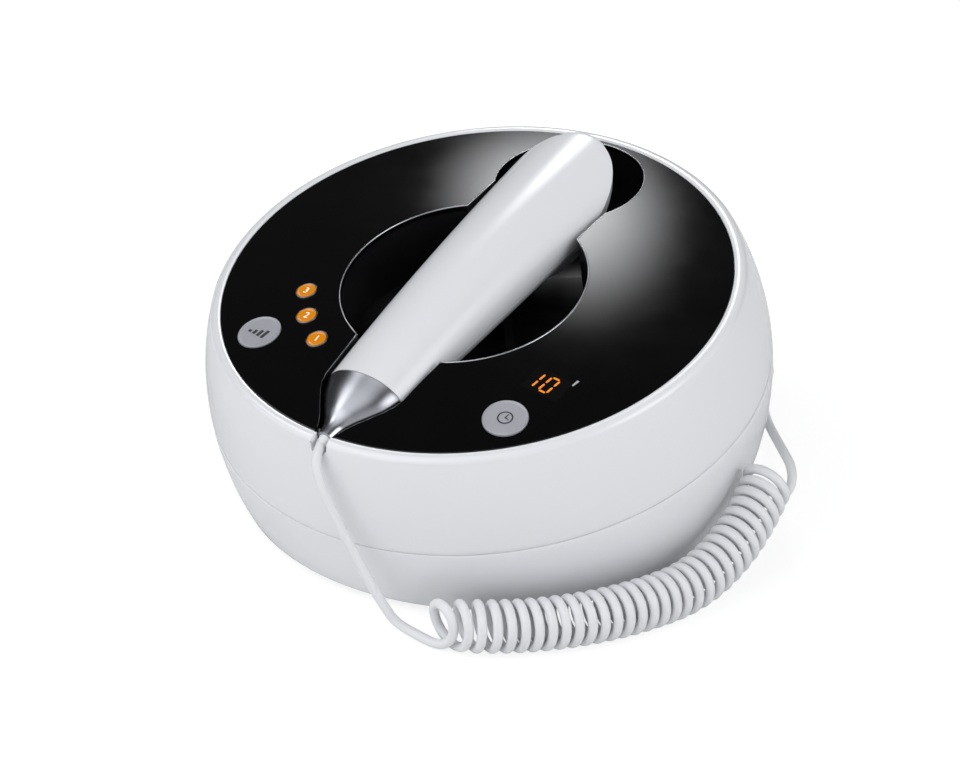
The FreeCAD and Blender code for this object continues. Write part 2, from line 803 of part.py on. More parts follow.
def panel_board(name, side):
    """A sector of a ring round the recess."""
    body = new_body(name)
    sketch = start_sketch(body, name + "_outline", "XY_Plane")
    corners = []
    for reach, turn in (("panel_board_inner", "panel_board_from_angle"),
                        ("panel_board_inner", "panel_board_to_angle"),
                        ("panel_board_outer", "panel_board_to_angle"),
                        ("panel_board_outer", "panel_board_from_angle")):
        corners.append(("%d * %s * cos(%s)" % (side, reach, turn),
                        "-%s * sin(%s) - recess_shift" % (reach, turn)))
    outline(sketch, corners, {0: ("panel_board_inner", -side), 2: ("panel_board_outer", side)})
    pad(body, sketch, name + "_pad", "board_thickness")
    return node(name, body, on_plate("0", "0", "-panel_board_drop - board_thickness"))


panel_board("level_board", -1)
panel_board("time_board", 1)

# Push buttons: a disc level with the dome, a flange under the plate and a post on the plunger
FLANGE_LOW = "-button_flange_top - button_flange_height"
SWITCH_TOP = "-panel_board_drop + switch_height"
for name, (x, y) in BUTTONS.items():
    disc = under_dome(name + "_disc", cylinder(name + "_disc_form", "button_radius", "overrun",
                                               local(x, y, "-button_flange_top")), "button_proud")
    flange = cylinder(name + "_flange", "button_flange", "button_flange_height", local(x, y, FLANGE_LOW))
    post = cylinder(name + "_post", "button_post", "button_post_end + (%s)" % FLANGE_LOW,
                    local(x, y, "-button_post_end"))
    node(name + "_button", joined(name + "_button", [disc, flange, post]), PLATE)
    plunger_low = SWITCH_TOP + " - plunger_depth"
    plunger = cylinder(name + "_plunger", "plunger_radius", "-button_post_end - (%s)" % plunger_low)
    node(name + "_plunger", plunger, on_plate(x, y, plunger_low))
    case = box(name + "_switch_case", "switch_side", "switch_side", "switch_height",
               local(x, y, "-panel_board_drop"))
    well = cylinder(name + "_switch_well", "plunger_radius + plunger_gap", "overrun",
                    local(x, y, SWITCH_TOP + " - switch_hole_depth"))
    node(name + "_switch", cut(name + "_switch", case, well), PLATE)

# Level lamps: a lens in a thin ring, each over a light on the panel board
bezels = []
leds = []
for number, (x, y) in enumerate(LAMPS, 1):
    lens = cylinder("lamp_lens_%d" % number, "lamp_radius", "overrun", local(x, y, "-lamp_depth"))
    node("level_lamp_%d" % number, under_dome("level_lamp_%d" % number, lens, "lamp_proud"), PLATE)
    ring = cylinder("bezel_disc_%d" % number, "lamp_radius + lamp_gap + bezel_width", "overrun",
                    local(x, y, "-lamp_depth"))
    bore = cylinder("bezel_bore_%d" % number, "lamp_radius + lamp_gap", "2 * overrun",
                    local(x, y, "-overrun"))
    bezels.append(under_dome("bezel_%d" % number, cut("bezel_ring_%d" % number, ring, bore), "bezel_proud"))
    stem = cylinder("led_stem_%d" % number, "led_radius", "led_height - led_radius",
                    local(x, y, "-panel_board_drop"))
    bulb = ball("led_bulb_%d" % number, "led_radius",
                local(x, y, "-panel_board_drop + led_height - led_radius"))
    leds.append(joined("led_%d" % number, [stem, bulb]))
node("level_lamp_bezels", group("level_lamp_bezels", bezels), PLATE)
node("level_leds", group("level_leds", leds), PLATE)

# Time display: a smoked lens level with the dome over a digit module on the board
lens = box("lens_form", "display_width", "display_height", "overrun", display_frame("-lens_depth"))
node("display_lens", under_dome("display_lens", lens, "0"), PLATE)
MODULE_LOW = "-lens_depth - display_gap - module_height"
module = box("module_case", "display_width - module_inset", "display_height - module_inset", "module_height",
             display_frame(MODULE_LOW))
header = box("module_header", "display_width - header_inset", "display_height - header_inset",
             "panel_board_drop + (%s)" % MODULE_LOW, display_frame("-panel_board_drop"))
node("display_module", joined("display_module", [module, header]), PLATE)

# Cradle tray: bowl, front trough, rear slot and head well, with a saddle under the grip
def channel(name, spread, front, front_half, rear, rear_half):
    """A tapered channel under the grip, open at the top."""
    low = "-trough_depth - " + spread
    near = "(%s + %s)" % (front_half, spread)
    far = "(%s + %s)" % (rear_half, spread)
    return new("Part::Wedge", name, ORIGIN, Xmin="-" + near, Xmax=near, X2min="-" + far, X2max=far,
               Ymin=front, Ymax=rear, Zmin=low, Z2min=low, Zmax="overrun", Z2max="overrun")


def neck_half_at(station):
    """Half the width of the tapered opening beside the tail cone."""
    taper = "(%s - notch_half) / (trumpet_end - trough_front)" % SLOT_FRONT
    return "(notch_half + (trumpet_end - %s) * %s)" % (station, taper)


def tray_form(name, spread, neck_end):
    """The tray's hollow, or its outside when spread by the wall."""
    slot_length = "recess_shift + well_shift"
    slot_place = local("0", "(well_shift - recess_shift) / 2", "-recess_depth - " + spread)
    return joined(name, [
        cylinder(name + "_bowl", "recess_radius + " + spread, "recess_depth + overrun + " + spread,
                 local("0", "-recess_shift", "-recess_depth - " + spread)),
        cylinder(name + "_well", "well_radius + " + spread, "well_depth + overrun + " + spread,
                 local("0", "well_shift", "-well_depth - " + spread)),
        box(name + "_slot", "2 * (rear_slot_half + %s)" % spread, slot_length,
            "recess_depth + overrun + " + spread, slot_place),
        channel(name + "_trough", spread, "-trough_front", SLOT_FRONT, "-recess_shift", SLOT_REAR),
        channel(name + "_neck", spread, "-" + neck_end, neck_half_at(neck_end), "-trough_front", SLOT_FRONT),
    ])


tray_shell = cut("tray_shell", tray_form("tray_outside", "tray_wall", "neck_end"),
                 tray_form("tray_inside", "0", "trumpet_end"))
saddle_top = "mid_level - mid_half_height - rest_gap"
saddle = box("saddle", "2 * saddle_half", "saddle_length", "recess_depth + tray_wall / 2 + " + saddle_top,
             local("0", "0", "-recess_depth - tray_wall / 2"))
node("cradle_tray", under_dome("cradle_tray", joined("tray_whole", [tray_shell, saddle]),
                               "(-plate_thickness - seat_gap)"), PLATE)

# Handpiece: an oval bar, lofted, split at the parting level and cut aslant at the head
STATIONS = [
    ("-tail_station", "tail_half_width", "tail_half_height", "tail_level"),
    ("0", "mid_half_width", "mid_half_height", "mid_level"),
    ("head_station", "head_half_width", "head_half_height", "head_level"),
    ("tip_station", "tip_half_width", "tip_half_height", "tip_level"),
]


def bar(name, inset, stations):
    sections = []
    for number, (station, half_width, half_height, level) in enumerate(stations):
        sections.append(oval("%s_%d" % (name, number), "%s - %s" % (half_width, inset),
                             "%s - %s" % (half_height, inset), local("0", station, level, 90, (1, 0, 0))))
    return loft(name, sections)


HEAD = local("0", "head_cut_station", "0", 180 + mm("head_cut_slope"), (1, 0, 0))
INNER = [("-tail_station + grip_wall",) + STATIONS[0][1:]] + STATIONS[1:]
grip = bar("grip", "0", STATIONS)
grip_hollow = bar("grip_hollow", "grip_wall", INNER)
grip_cut = cut("grip_cut", grip, half_space("past_head", HEAD))
cord_way = cylinder("cord_way", "cord_diameter / 2 + screw_gap", "2 * overrun",
                    local("0", "overrun - tail_station", "cone_end_level", 90, (1, 0, 0)))
upper_half = common("grip_upper", grip_cut,
                    half_space("over_parting", local("0", "0", "parting_level + parting_gap / 2")))
lower_half = common("grip_lower", grip_cut,
                    half_space("under_parting", flipped(local("0", "0", "parting_level - parting_gap / 2"))))
node("handpiece_upper_shell", cut("handpiece_upper_shell", upper_half, grip_hollow), PLATE)

grip_posts = []
grip_bores = []
grip_screws = []
SCREW_SEAT = "grip_board_level + board_thickness"
for number, place in enumerate(("-grip_post_first", "grip_post_second")):
    grip_posts.append(cylinder("grip_post_%d" % number, "grip_post_radius", "overrun + grip_board_level",
                               local("0", place, "-overrun")))
    low = SCREW_SEAT + " - grip_screw_length"
    grip_bores.append(cylinder("grip_bore_%d" % number, "grip_screw_radius + screw_gap",
                               "grip_screw_length + overrun", local("0", place, low)))
    shank = cylinder("grip_screw_shank_%d" % number, "grip_screw_radius", "grip_screw_length",
                     local("0", place, low))
    cap = cylinder("grip_screw_cap_%d" % number, "grip_screw_head", "grip_screw_head_height",
                   local("0", place, SCREW_SEAT))
    grip_screws.append(joined("grip_screw_%d" % number, [shank, cap]))
posts_inside = common("grip_posts", joined("grip_posts_all", grip_posts), lower_half)
lower_hollow = cut("grip_lower_shell", lower_half, grip_hollow)
lower_with_posts = joined("grip_lower_whole", [lower_hollow, posts_inside])
node("handpiece_lower_shell", cut("handpiece_lower_shell", lower_with_posts, cord_way, *grip_bores), PLATE)
board = box("grip_board_form", "grip_board_width", "grip_board_length", "board_thickness",
            local("0", "grip_board_length / 2 - grip_board_start", "grip_board_level"))
node("handpiece_board", cut("handpiece_board", board, *grip_bores), PLATE)
node("handpiece_screws", group("handpiece_screws", grip_screws), PLATE)

# Tail cone: a trumpet from the oval joint to a round end, bored for the cord
CONE = [
    ("-tail_station - cone_gap", "tail_half_width", "tail_half_height", "tail_level"),
    ("-cone_flank_station", "cone_flank_width", "cone_flank_height",
     "tail_level + (cone_end_level - tail_level) / 3"),
    ("-cone_waist_station", "cone_waist_width", "cone_waist_height",
     "tail_level + (cone_end_level - tail_level) * 2 / 3"),
    ("-cone_neck_station", "cone_neck_width", "cone_neck_height", "cone_end_level"),
    ("-cone_end_station", "cone_end_radius", "cone_end_radius", "cone_end_level"),
]
trumpet = bar("trumpet", "0", CONE)
trumpet_bore = cylinder("trumpet_bore", "cord_diameter / 2 + screw_gap", "2 * overrun",
                        local("0", "overrun / 2 - tail_station", "cone_end_level", 90, (1, 0, 0)))
node("tail_cone", cut("tail_cone", trumpet, trumpet_bore), PLATE)
sleeve_at = local("0", "-cone_end_station", "cone_end_level", 90, (1, 0, 0))
sleeve = cylinder("sleeve", "grommet_radius", "grommet_length", sleeve_at)
sleeve_bore = cylinder("sleeve_bore", "cord_diameter / 2 + screw_gap", "grommet_length", sleeve_at)
node("tail_grommet", cut("tail_grommet", sleeve, sleeve_bore), PLATE)

# Treatment head on the slanted face: collar, carrier and four domed electrodes
FACE_CENTRE = "head_level / sin(head_cut_slope)"


def head_frame(x, y, z):
    return HEAD.multiply(local(x, "-(%s) + (%s)" % (FACE_CENTRE, y), z))


def head_oval(name, half_length, half_width, z):
    return oval(name, half_length, half_width,
                head_frame("0", "0", z).multiply(frame(vector(0, 0, 0), 90, (0, 0, 1))))


COLLAR_HALF = "head_half_width - collar_inset"
collar = loft("head_collar", [
    head_oval("collar_foot", "collar_half_length", COLLAR_HALF, "0"),
    head_oval("collar_rim", "collar_half_length - collar_taper", COLLAR_HALF + " - collar_taper",
              "collar_height"),
])
node("head_collar", collar, PLATE)
CARRIER_INSET = " - collar_taper - carrier_inset"
carrier = loft("electrode_carrier", [
    head_oval("carrier_foot", "collar_half_length" + CARRIER_INSET, COLLAR_HALF + CARRIER_INSET,
              "collar_height"),
    head_oval("carrier_face", "collar_half_length" + CARRIER_INSET, COLLAR_HALF + CARRIER_INSET,
              "collar_height + carrier_height"),
])
node("electrode_carrier", carrier, PLATE)
electrodes = []
for number, (side, fore) in enumerate(CORNERS):
    x = "%d * electrode_side" % side
    y = "%d * electrode_along" % fore
    stud = cylinder("electrode_stud_%d" % number, "electrode_radius", "electrode_height",
                    head_frame(x, y, "collar_height + carrier_height"))
    dome = ball("electrode_dome_%d" % number, "electrode_ball",
                head_frame(x, y, "collar_height + carrier_height + electrode_height - electrode_ball"))
    electrodes.append(common("electrode_%d" % number, stud, dome))
node("electrodes", group("electrodes", electrodes), PLATE)

# Main board and what stands on it
board_top = "board_lift + board_thickness"
board = box("main_board_form", "board_length", "board_width", "board_thickness",
            local("0", "0", "board_lift"))
board_bores = [cylinder("main_board_bore_%d" % number, "board_screw_radius + screw_gap", "overrun",
                        frame(vector(side * mm("board_post_x"), fore * mm("board_post_y"), mm("foot_lift"))))
               for number, (side, fore) in enumerate(CORNERS)]
node("main_board", cut("main_board", board, *board_bores))

core = box("core_form", "core_length", "core_width / 2", "core_height", local("core_x", "core_y", board_top))
windows = []
for side in (-1, 1):
    windows.append(box("core_window_%d" % side, "core_leg", "core_width", "core_height - 2 * core_leg",
                       local("core_x + %d * (core_length / 2 - 1.5 * core_leg)" % side, "core_y",
                             board_top + " + core_leg")))
core_cut = cut("core_cut", core, *windows)
winding = box("winding", "core_length - 2 * core_leg - 2 * winding_gap", "core_width",
              "core_height - 2 * core_leg - 2 * winding_gap",
              local("core_x", "core_y", board_top + " + core_leg + winding_gap"))
node("rf_transformer", joined("rf_transformer", [core_cut, winding]))

SINK_FINS = 6
sink_at = local("sink_x", "sink_y", board_top)
sink_parts = [box("sink_plate", "sink_length", "sink_base", "sink_height", sink_at)]
for number in range(SINK_FINS):
    share = number / (SINK_FINS - 1) - 0.5
    fin_at = local("sink_x + (sink_length - sink_fin) * %f" % share,
                   "sink_y + sink_base / 2 + sink_fin_length / 2", board_top)
    sink_parts.append(box("sink_fin_%d" % number, "sink_fin", "sink_fin_length", "sink_height", fin_at))
node("heat_sink", joined("heat_sink", sink_parts))
transistors = []
for side in (-1, 1):
    case_at = local("sink_x + %d * transistor_place" % side,
                    "sink_y - sink_base / 2 - transistor_depth / 2", board_top)
    transistors.append(box("transistor_%d" % side, "transistor_width", "transistor_depth",
                           "transistor_height", case_at))
node("power_transistors", group("power_transistors", transistors))

capacitors = []
for number in range(3):
    can_at = local("capacitor_x + %d * capacitor_step" % number, "capacitor_y", board_top)
    can = cylinder("can_%d" % number, "capacitor_radius", "capacitor_height - capacitor_round", can_at)
    top = cone("can_top_%d" % number, "capacitor_radius", "capacitor_radius - capacitor_round",
               "capacitor_round", lifted(can_at, "capacitor_height - capacitor_round"))
    capacitors.append(joined("capacitor_%d" % number, [can, top]))
node("filter_capacitors", group("filter_capacitors", capacitors))
buzzer_at = local("buzzer_x", "buzzer_y", board_top)
buzzer_can = cylinder("buzzer_can", "buzzer_radius", "buzzer_height", buzzer_at)
buzzer_hole = cylinder("buzzer_hole", "buzzer_hole", "overrun", lifted(buzzer_at, "buzzer_height / 2"))
node("buzzer", cut("buzzer", buzzer_can, buzzer_hole))

# Inlet, power switch and rocker on the rear flat
inlet_flange = cylinder("inlet_flange", "inlet_flange", "inlet_flange_thickness", rear_frame("inlet_x", "0"))
inlet_barrel = cylinder("inlet_barrel", "inlet_barrel", "inlet_length",
                        rear_frame("inlet_x", "-inlet_length"))
inlet_bore = cylinder("inlet_bore", "inlet_bore", "inlet_bore_depth",
                      rear_frame("inlet_x", "inlet_flange_thickness - inlet_bore_depth"))
inlet_case = cut("inlet_case", joined("inlet_solid", [inlet_flange, inlet_barrel]), inlet_bore)
inlet_pin = cylinder("inlet_pin", "inlet_pin", "inlet_length", rear_frame("inlet_x", "-inlet_length"))
node("power_inlet", joined("power_inlet", [inlet_case, inlet_pin]))

FLANGE = "inlet_flange_thickness"
switch_flange = box("switch_flange", "switch_flange_width", "switch_flange_height", FLANGE,
                    rear_frame("switch_x", "0"))
switch_body = box("switch_body", "switch_body_width", "switch_body_height", "switch_body_depth",
                  rear_frame("switch_x", "-switch_body_depth"))
switch_slot = box("switch_slot", "rocker_width + 2 * rocker_gap", "2 * (rocker_radius + rocker_gap)",
                  "overrun", rear_frame("switch_x", FLANGE + " - rocker_sink - rocker_radius - rocker_gap"))
node("power_switch_housing", cut("power_switch_housing", joined("switch_solid", [switch_flange, switch_body]),
                                 switch_slot))
PIVOT = rear_frame("switch_x", FLANGE + " - rocker_sink").multiply(frame(vector(0, 0, 0), mm("rocker_angle")))
rocker_disc = cylinder("rocker_disc", "rocker_radius", "rocker_width",
                       frame(vector(-mm("rocker_width") / 2, 0, 0), 90, (0, 1, 0)))
rocker_faces = []
for side in (-1, 1):
    face_at = local("0", "0", "rocker_face", side * mm("rocker_angle"), (1, 0, 0))
    rocker_faces.append(half_space("rocker_face_%d" % side, face_at))
rocker_dish = common("rocker_dish", *rocker_faces)
node("power_rocker", cut("power_rocker", rocker_disc, rocker_dish), PIVOT)

# Gland: a neck through the wall and a tapered sleeve
gland_neck = cylinder("gland_neck_form", "gland_radius", "gland_inside + gland_neck",
                      gland_frame(-mm("gland_inside")))
gland_sleeve = cone("gland_sleeve", "gland_radius", "gland_tip_radius", "gland_taper",
                    gland_frame(mm("gland_neck")))
node("cord_gland", joined("cord_gland", [gland_neck, gland_sleeve]))


# Cord: a hanging drop, a curly coil and the return to the gland
def place_shape(name, shape):
    item = document.addObject("Part::Feature", name)
    item.Shape = shape
    item.Placement = ORIGIN
    return node(name, item)


def sweep(edges, start, along):
    """A round tube on a path of lines and arcs."""
    circle = Part.Wire([Part.Circle(start, along, mm("cord_diameter / 2")).toShape()])
    return Part.Wire(edges).makePipeShell([circle], True, False)


def rounded_route(name, points):
    """Straight runs joined by arcs as large as the runs allow."""
    edges = []
    radii = []
    at = points[0]
    for before, corner, after in zip(points, points[1:], points[2:]):
        inward = (before - corner).normalize()
        outward = (after - corner).normalize()
        turn = math.pi - inward.getAngle(outward)
        reach = RUN_share * min(before.distanceToPoint(corner), after.distanceToPoint(corner))
        radius = reach / math.tan(turn / 2)
        middle = (inward + outward).normalize() * (radius / math.cos(turn / 2) - radius)
        first = corner + inward * reach
        last = corner + outward * reach
        edges.append(Part.LineSegment(at, first).toShape())
        edges.append(Part.Arc(first, corner + middle, last).toShape())
        radii.append(radius)
        at = last
    edges.append(Part.LineSegment(at, points[-1]).toShape())
    tube = sweep(edges, points[0], points[1] - points[0])
    length = sum(edge.Length for edge in edges)
    section = math.pi * mm("cord_diameter / 2") ** 2
    print(name, "length %.1f" % length, "volume share %.4f" % (tube.Volume / (section * length)),
          "radii", " ".join("%.1f" % radius for radius in radii))
    return tube


def coil_axis(share):
    """A point of the line that the coil winds round: on the table, then climbing beside the housing."""
    heading = math.radians(COIL["start_bearing"] + (COIL["end_bearing"] - COIL["start_bearing"]) * share)
    part = max(0, (share - COIL_CLIMB_FROM_share) / (1 - COIL_CLIMB_FROM_share))
    climb = part * part
    ring = COIL["ring"] + COIL["climb_out"] * climb
    return vector(ring * math.cos(heading), ring * math.sin(heading), COIL["rest"] + COIL["climb"] * climb)


def count_turns():
    """The turns made at each step of the axis, further apart where it bends and where the coil fans."""
    points = [coil_axis(number / AXIS_STEPS) for number in range(-1, AXIS_STEPS + 1)]
    turns = [0.0]
    for before, at, after in zip(points, points[1:], points[2:]):
        step = after - at
        bend = (at - before).getAngle(step) / step.Length
        fan = max(0, 1 - turns[-1] / COIL_FAN_TURNS) ** 2
        pitch = COIL["least_pitch"] / (1 - COIL["mean_radius"] * bend) + COIL["fan_pitch"] * fan
        turns.append(turns[-1] + step.Length / pitch)
    last = (COIL["end_phase"] - COIL["start_phase"]) / 360
    whole = math.floor(turns[-1] - last) + last
    return [turn * whole / turns[-1] for turn in turns]


COIL = {key: mm("coil_" + key) for key in ("start_bearing", "end_bearing", "ring", "climb", "climb_out",
                                           "least_pitch", "fan_pitch", "mean_radius", "first_lean",
                                           "start_phase", "end_phase")}
COIL["rest"] = mm("coil_mean_radius + cord_diameter / 2 + coil_floor_gap")
AXIS_STEPS = 600
STEP_share = 0.001
TURNS = count_turns()
COIL_TURNS = TURNS[-1]


def coil_share(turn):
    """The share of the axis passed after a number of turns."""
    above = min(max(bisect.bisect(TURNS, turn), 1), AXIS_STEPS)
    low, high = TURNS[above - 1], TURNS[above]
    return (above - 1 + (turn - low) / (high - low)) / AXIS_STEPS


def coil_point(turn):
    """A point of the curled cord after a number of turns, from the bottom outwards and up."""
    share = coil_share(turn)
    along = coil_axis(share + STEP_share) - coil_axis(share - STEP_share)
    along = vector(along.x, along.y, along.z * COIL_TILT_share).normalize()
    lean = COIL["first_lean"] * max(0, 1 - turn / COIL_FAN_TURNS) ** 2
    along = FreeCAD.Rotation(vector(0, 0, 1), lean).multVec(along)
    outward = along.cross(vector(0, 0, 1)).normalize()
    upward = outward.cross(along)
    phase = math.radians(360 * turn + COIL["start_phase"])
    return coil_axis(share) + (outward * math.cos(phase) + upward * math.sin(phase)) * COIL["mean_radius"]


def coil_heading(turn):
    return (coil_point(turn + STEP_share) - coil_point(turn - STEP_share)).normalize()


def arc_from(start, heading, finish):
    """The arc that leaves start along heading and ends at finish."""
    chord = finish - start
    across = heading.cross(chord).cross(heading).normalize()
    radius = chord.Length ** 2 / (2 * chord.dot(across))
    centre = start + across * radius
    middle = centre + ((start + finish) * 0.5 - centre).normalize() * radius
    return Part.Arc(start, middle, finish).toShape()


def biarc(start, heading, finish, arrival):
    """Two arcs that share a tangent where they meet."""
    chord = finish - start
    both = heading + arrival
    spread = 2 * (1 - heading.dot(arrival))
    reach = (-chord.dot(both) + math.sqrt(chord.dot(both) ** 2 + spread * chord.dot(chord))) / spread
    meeting = (start + finish + (heading - arrival) * reach) * 0.5
    turned = ((meeting - start - heading * reach) * (1 / reach)).normalize()
    return [arc_from(start, heading, meeting), arc_from(meeting, turned, finish)]


def least_self_gap():
    """The least distance between points of the coil that lie over half a turn apart, less the cord."""
    per_turn = 24
    points = [coil_point(number / per_turn) for number in range(int(COIL_TURNS * per_turn) + 1)]
    least = mm("cut_span")
    for number, point in enumerate(points):
        for other in points[number + per_turn // 2:number + 2 * per_turn]:
            least = min(least, point.distanceToPoint(other))
    return least - mm("cord_diameter")


def coil_solid():
    stops = [number / 2 for number in range(int(COIL_TURNS * 2) + 1)]
    stops.append(COIL_TURNS)
    diameter = mm("cord_diameter")
    start = coil_point(0) - coil_heading(0) * diameter
    finish = coil_point(COIL_TURNS) + coil_heading(COIL_TURNS) * mm("coil_end_stub")
    edges = [Part.LineSegment(start, coil_point(0)).toShape()]
    for one, two in zip(stops, stops[1:]):
        if two > one:
            edges += biarc(coil_point(one), coil_heading(one), coil_point(two), coil_heading(two))
    edges.append(Part.LineSegment(coil_point(COIL_TURNS), finish).toShape())
    tube = sweep(edges, start, coil_heading(0))
    length = sum(edge.Length for edge in edges)
    section = math.pi * (diameter / 2) ** 2
    print("cord_coil turns %.2f" % COIL_TURNS, "length %.1f" % length,
          "volume share %.4f" % (tube.Volume / (section * length)), "least self gap %.2f" % least_self_gap())
    return tube, start, finish


coil, coil_start, coil_finish = coil_solid()
place_shape("cord_coil", coil)


def beside(x_share, y_share, z_share):
    """A place beside the housing, in shares of the belly's radius and of its height."""
    radius = mm("belly_radius")
    return vector(radius * x_share, radius * y_share, mm("belly_height") * z_share)


tail_reach = mm("-cone_end_station - grommet_length - cord_joint_gap")
TAIL_END = PLATE.multVec(vector(0, tail_reach, mm("cone_end_level")))
DROP_share = [
    (0.0138, -1.0284, 1.2386),
    (0.0483, -1.0534, 1.1053),
    (0.0897, -1.0509, 0.9298),
    (0.1345, -1.0431, 0.7439),
    (0.1828, -1.0310, 0.5544),
    (0.2345, -1.0155, 0.3754),
    (0.2845, -0.9931, 0.2175),
]
DROP = [TAIL_END]
DROP += [beside(*shares) for shares in DROP_share]
DROP += [coil_start - coil_heading(0) * mm("coil_lead"), coil_start]
place_shape("cord_drop", rounded_route("cord_drop", DROP))

RETURN_share = [
    (1.1336, 0.1879, 0.5825),
    (1.0948, 0.2448, 0.6281),
    (1.0172, 0.3293, 0.6035),
    (0.9224, 0.4431, 0.5404),
    (0.8241, 0.5690, 0.4596),
    (0.7397, 0.6931, 0.3754),
    (0.6638, 0.8233, 0.3070),
    (0.6078, 0.9397, 0.2772),
    (0.5802, 1.0345, 0.2737),
    (0.5517, 1.1138, 0.2842),
    (0.4966, 1.1259, 0.3018),
]
gland_tip = mm("gland_neck + gland_taper")
RETURN = [coil_finish, coil_finish + coil_heading(COIL_TURNS) * mm("return_lead")]
RETURN += [beside(*shares) for shares in RETURN_share]
RETURN += [gland_frame(gland_tip + mm("gland_lead")).Base, gland_frame(gland_tip).Base]
place_shape("cord_return", rounded_route("cord_return", RETURN))

# Check every object, then write each sub-part
document.recompute()
failed = [item.Name for item in document.Objects if "Invalid" in item.State or "Error" in item.State]
if failed:
    raise RuntimeError("failed objects: " + ", ".join(failed))
os.makedirs("parts", exist_ok=True)
for name, item in NODES.items():
    if item.Shape.isNull() or not item.Shape.isValid() or item.Shape.Volume <= 0:
        raise RuntimeError("bad shape: " + name)
    item.Shape.exportStep("parts/%s.step" % name)
print(len(NODES), "nodes")
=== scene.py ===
# %% [markdown]
# A table-top treatment machine: a bulged white housing with a slanted black plate, a handpiece that
# lies in a cradle, two push buttons, three lit lamps, a lit display and a curly cord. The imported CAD
# model is the frame: it gives every place and every joint, and this lesson dresses it.

# %% Load the frame
import math
import bpy
import bmesh
from mathutils import Matrix, Vector
from mathutils.kdtree import KDTree


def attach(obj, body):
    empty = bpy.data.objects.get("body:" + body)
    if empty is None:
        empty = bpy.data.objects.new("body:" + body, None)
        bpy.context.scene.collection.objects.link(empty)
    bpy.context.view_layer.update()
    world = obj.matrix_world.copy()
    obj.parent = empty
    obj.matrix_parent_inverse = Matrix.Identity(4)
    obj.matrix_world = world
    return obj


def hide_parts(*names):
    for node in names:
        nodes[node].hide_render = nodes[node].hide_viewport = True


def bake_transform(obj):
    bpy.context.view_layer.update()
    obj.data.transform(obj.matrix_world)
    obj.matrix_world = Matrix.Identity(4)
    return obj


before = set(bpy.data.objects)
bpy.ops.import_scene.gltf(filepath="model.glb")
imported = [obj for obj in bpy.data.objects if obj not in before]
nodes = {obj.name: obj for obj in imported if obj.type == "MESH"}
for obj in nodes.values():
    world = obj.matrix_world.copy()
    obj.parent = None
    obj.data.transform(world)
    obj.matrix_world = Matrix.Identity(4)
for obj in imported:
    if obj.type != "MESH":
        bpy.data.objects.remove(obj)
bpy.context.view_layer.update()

MM = 0.001
SAME_PLACE, ON_RING = 0.002 * MM, 0.02 * MM

# %% [markdown]
# The camera comes first. A studio photo of a product
# is taken from some way off with a long lens, so the sides hardly converge: 108 mm on a full frame,
# 1.2 m away, a good thirty degrees up and from the right of the front.

# %% Camera
bpy.ops.object.camera_add(location=(0.58397, -0.85284, 0.64222))
camera = bpy.context.object
camera.name = "studio_camera"
camera.rotation_euler = Vector((-0.4921, 0.7131, -0.4993)).to_track_quat("-Z", "Y").to_euler()
camera.data.lens = 108.49
camera.data.sensor_width = 36.0
camera.data.clip_start = 0.01
bpy.context.scene.camera = camera
bpy.context.scene.view_settings.view_transform = "Standard"
print("camera", [round(value, 3) for value in camera.location])

# %% [markdown]
# A few small hands are used in every step. `pick` drops every selection first, because an operator
# acts on all that is selected. `loft` starts from a circle of edges and extrudes it ring by ring, as
# one does by hand with E and S, and moves each new ring to its place. `carve` is a Boolean that is
# applied at once, and `round_edges` bevels the edges that lie where a test says.


# %% Hands
def pick(*pieces):
    """Leaves edit mode, drops every selection, and selects only these pieces."""
    if bpy.context.object and bpy.context.object.mode != "OBJECT":
        bpy.ops.object.mode_set(mode="OBJECT")
    bpy.ops.object.select_all(action="DESELECT")
    for piece in pieces:
        piece.select_set(True)
        bpy.context.view_layer.objects.active = piece


def around(count):
    """The cosine and sine of each step round a circle."""
    turns = [math.tau * number / count for number in range(count)]
    return [(math.cos(turn), math.sin(turn)) for turn in turns]


def loft(name, rings, cap_first=False, cap_last=False):
    """A circle of edges, extruded ring by ring, with each new ring moved to its place."""
    pick()
    bpy.ops.mesh.primitive_circle_add(vertices=len(rings[0]), radius=0.01)
    piece = bpy.context.object
    piece.name = name
    piece.data.name = name
    bpy.ops.object.mode_set(mode="EDIT")
    bpy.ops.mesh.select_mode(type="EDGE")
    bpy.ops.mesh.select_all(action="SELECT")
    row = list(range(len(rings[0])))
    for number, ring in enumerate(rings):
        if number:
            bpy.ops.mesh.extrude_edges_move()
        mesh = bmesh.from_edit_mesh(piece.data)
        mesh.verts.ensure_lookup_table()
        mesh.verts.index_update()
        if number:
            ends = [mesh.verts[index] for index in row]
            row = [next(edge.other_vert(end).index for edge in end.link_edges
                        if edge.other_vert(end).select) for end in ends]
        for index, place in zip(row, ring):
            mesh.verts[index].co = place
        bmesh.update_edit_mesh(piece.data)
    if cap_last:
        bpy.ops.mesh.edge_face_add()
    if cap_first:
        bpy.ops.mesh.select_all(action="DESELECT")
        mesh = bmesh.from_edit_mesh(piece.data)
        for edge in mesh.edges:
            edge.select_set(all(vertex.index < len(rings[0]) for vertex in edge.verts))
        bmesh.update_edit_mesh(piece.data)
        bpy.ops.mesh.edge_face_add()
    bpy.ops.object.mode_set(mode="OBJECT")
    return piece


def near(ring, reach=ON_RING):
    """A test for places that lie on a ring's points."""
    tree = KDTree(len(ring))
    for number, place in enumerate(ring):
        tree.insert(place, number)
    tree.balance()
    return lambda place: tree.find(place)[2] < reach


